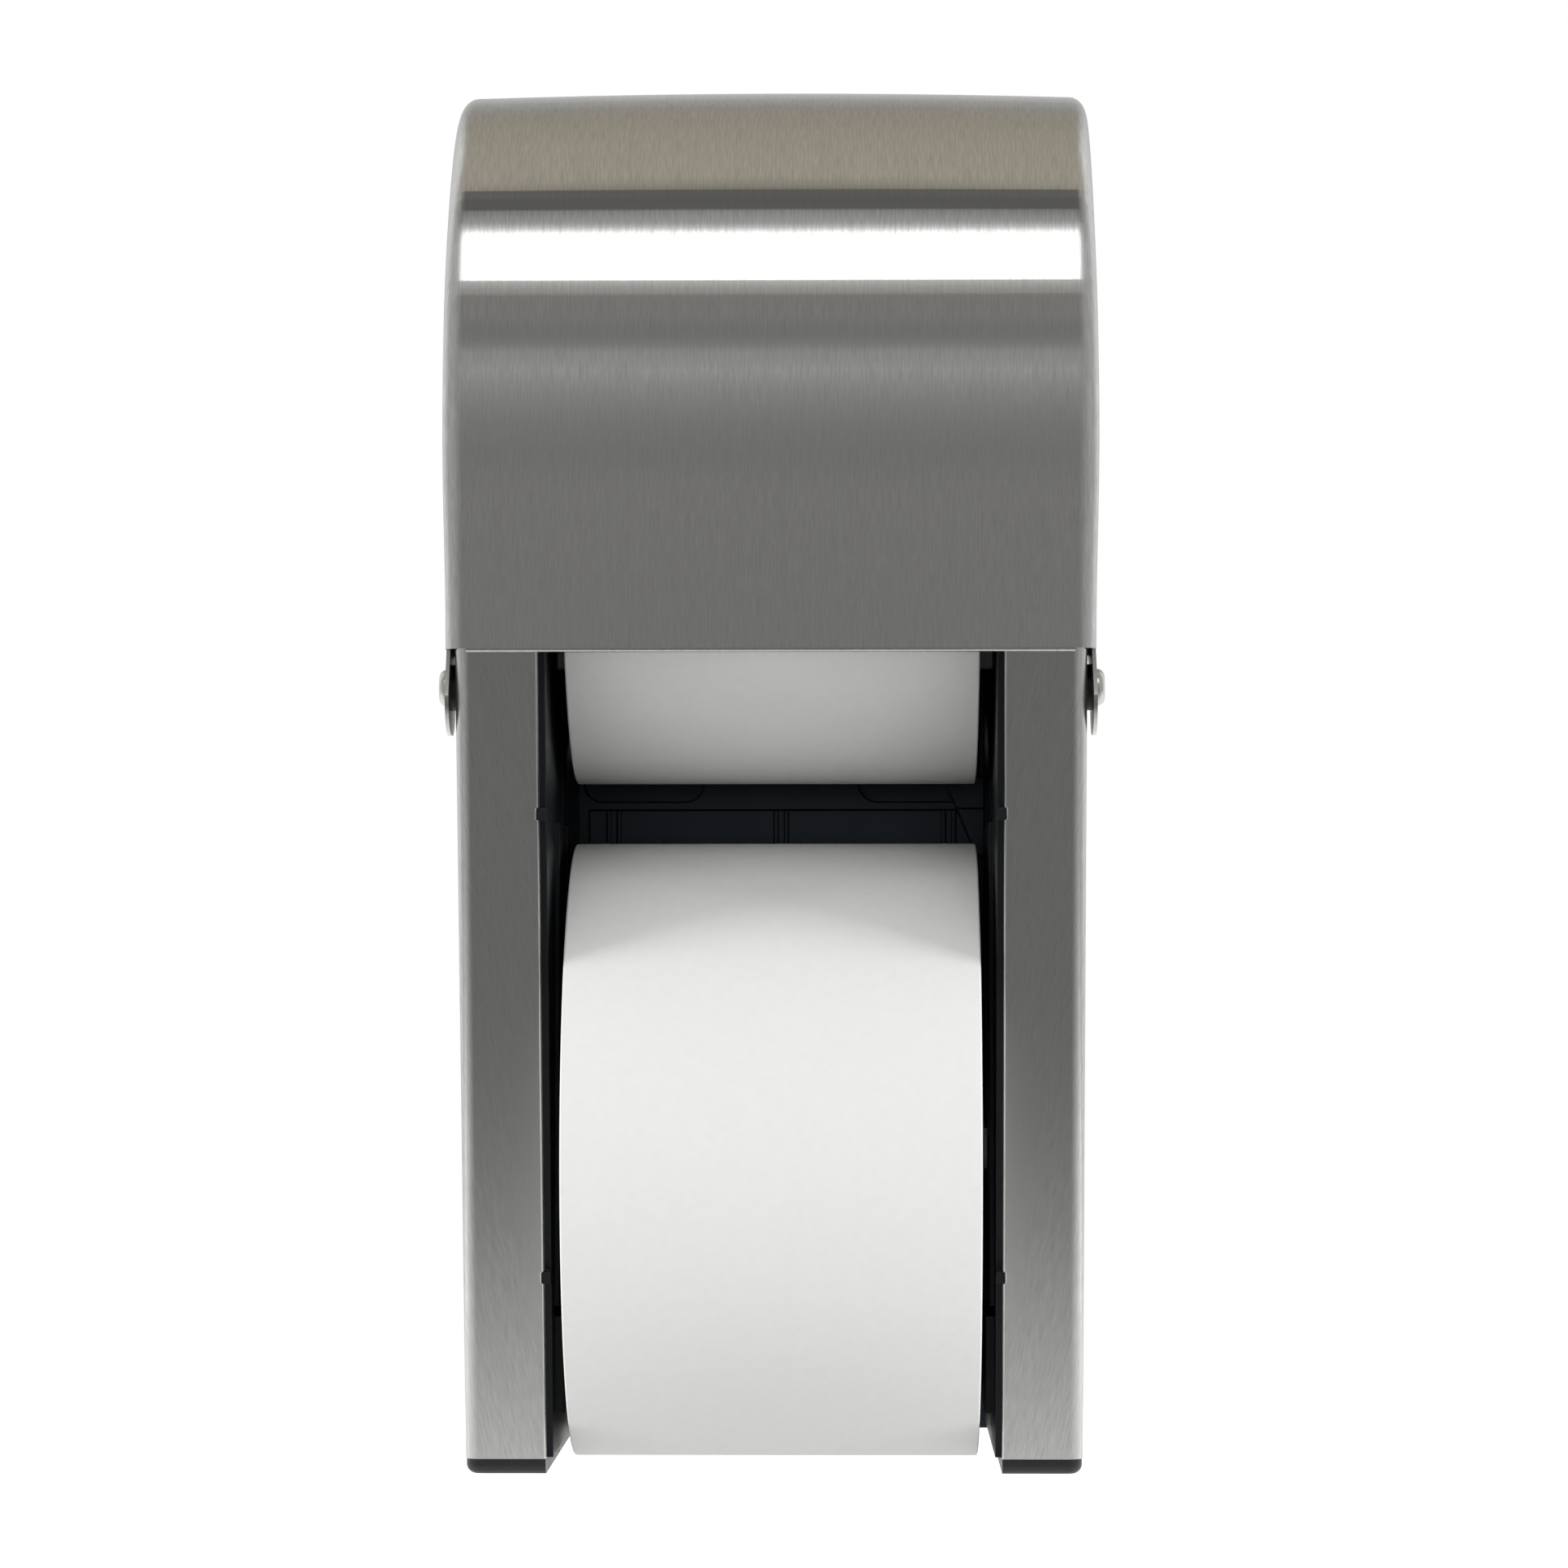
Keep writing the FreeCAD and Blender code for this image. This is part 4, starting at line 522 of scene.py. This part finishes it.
# The room's shades by the angle in degrees: 0 is level in front of the object, 90 overhead and 180 behind it.
ROOM = (
    (-180, "#EEEEEE"), (-90, "#767676"), (-40, "#6E6E6E"), (-18, "#707070"), (-5, "#787878"), (-3, "#E7E7E7"),
    (1, "#E7E7E7"), (3, "#606060"), (5, "#727272"), (8, "#8C8B8A"), (20, "#8A8680"), (23, "#A8A8A8"),
    (46, "#B4B4B4"), (52, "#C4C4C4"), (56, "#BCBCBC"), (58, "#565655"), (70.5, "#61605E"), (73, "#BDB6A6"),
    (118, "#AEA798"), (132, "#A5A29B"), (150, "#BBBBBB"), (165, "#CACACA"), (180, "#EEEEEE"))
while len(walls.color_ramp.elements) < len(ROOM):
    walls.color_ramp.elements.new(1)
for stop, (degrees, shade) in zip(walls.color_ramp.elements, ROOM):
    stop.position = (degrees + 180) / 360
    stop.color = linear(shade)
sideways = add(tree, "Math", {0: toward["X"]}, operation="ABSOLUTE").outputs[0]
side_share = add(tree, "MapRange", {"Value": sideways, "From Min": 0.2, "From Max": 0.85}).outputs[0]
side_grey, white = linear("#BEBEBE"), linear("#FFFFFF")
room = add(tree, "Mix", {
    "Factor": side_share, COLOUR_A: walls.outputs[0], COLOUR_B: side_grey}, data_type="RGBA").outputs[MIXED]
behind = add(tree, "MapRange", {"Value": toward["Y"], "From Min": 0, "From Max": 0.25}).outputs[0]
beside = add(tree, "MapRange", {"Value": sideways, "From Min": 0.3, "From Max": 0.6}).outputs[0]
far_share = add(tree, "Math", {0: behind, 1: beside}, operation="MULTIPLY").outputs[0]
room = add(tree, "Mix", {
    "Factor": far_share, COLOUR_A: room, COLOUR_B: white}, data_type="RGBA").outputs[MIXED]
room_light = add(tree, "Background", {"Color": room, "Strength": 1}).outputs[0]
backdrop = add(tree, "Background", {"Color": white, "Strength": 1}).outputs[0]
path = add(tree, "LightPath").outputs
view_mix = add(tree, "MixShader", {0: path["Is Camera Ray"], 1: room_light, 2: backdrop}).outputs[0]
add(tree, "OutputWorld", {"Surface": view_mix})

# Soft boxes: a wide one above the camera, which the hood's bend mirrors as a white band, and two low ones at
# the sides that light the paper and are kept out of the mirrors, where the pale side walls stand instead.
for name, azimuth, elevation, distance, width, height, power in (
        ("front soft box", 0, 34.2, 1.5, 1.1, 0.578, 4.4),
        ("left soft box", -71, 3, 1.5, 0.45, 0.5, 14),
        ("right soft box", 71, 3, 1.5, 0.45, 0.5, 14)):
    lamp = bpy.data.lights.new(name, "AREA")
    lamp.shape = "RECTANGLE"
    lamp.size, lamp.size_y, lamp.energy = width, height, power
    soft_box = bpy.data.objects.new(name, lamp)
    bpy.context.scene.collection.objects.link(soft_box)
    soft_box.visible_glossy = azimuth == 0
    away = Matrix.Rotation(math.radians(azimuth), 3, "Z") @ Matrix.Rotation(math.radians(-elevation), 3, "X")
    soft_box.location = away @ Vector((0, -distance, 0))
    soft_box.rotation_euler = soft_box.location.to_track_quat("Z", "Y").to_euler()

# Camera: a long lens in front of the object, as the photograph was taken.
# It stands a little right of the middle, low and tipped up by two degrees.
camera = bpy.data.cameras.new("camera")
camera.lens, camera.sensor_width = 117.35, 36
view = bpy.data.objects.new("camera", camera)
bpy.context.scene.collection.objects.link(view)
view.location = (0.022, -1.366, -0.121)
view.rotation_euler = (math.radians(92.1), math.radians(0.03), math.radians(0.9))
bpy.context.scene.camera = view
bpy.context.scene.view_settings.view_transform = "Standard"
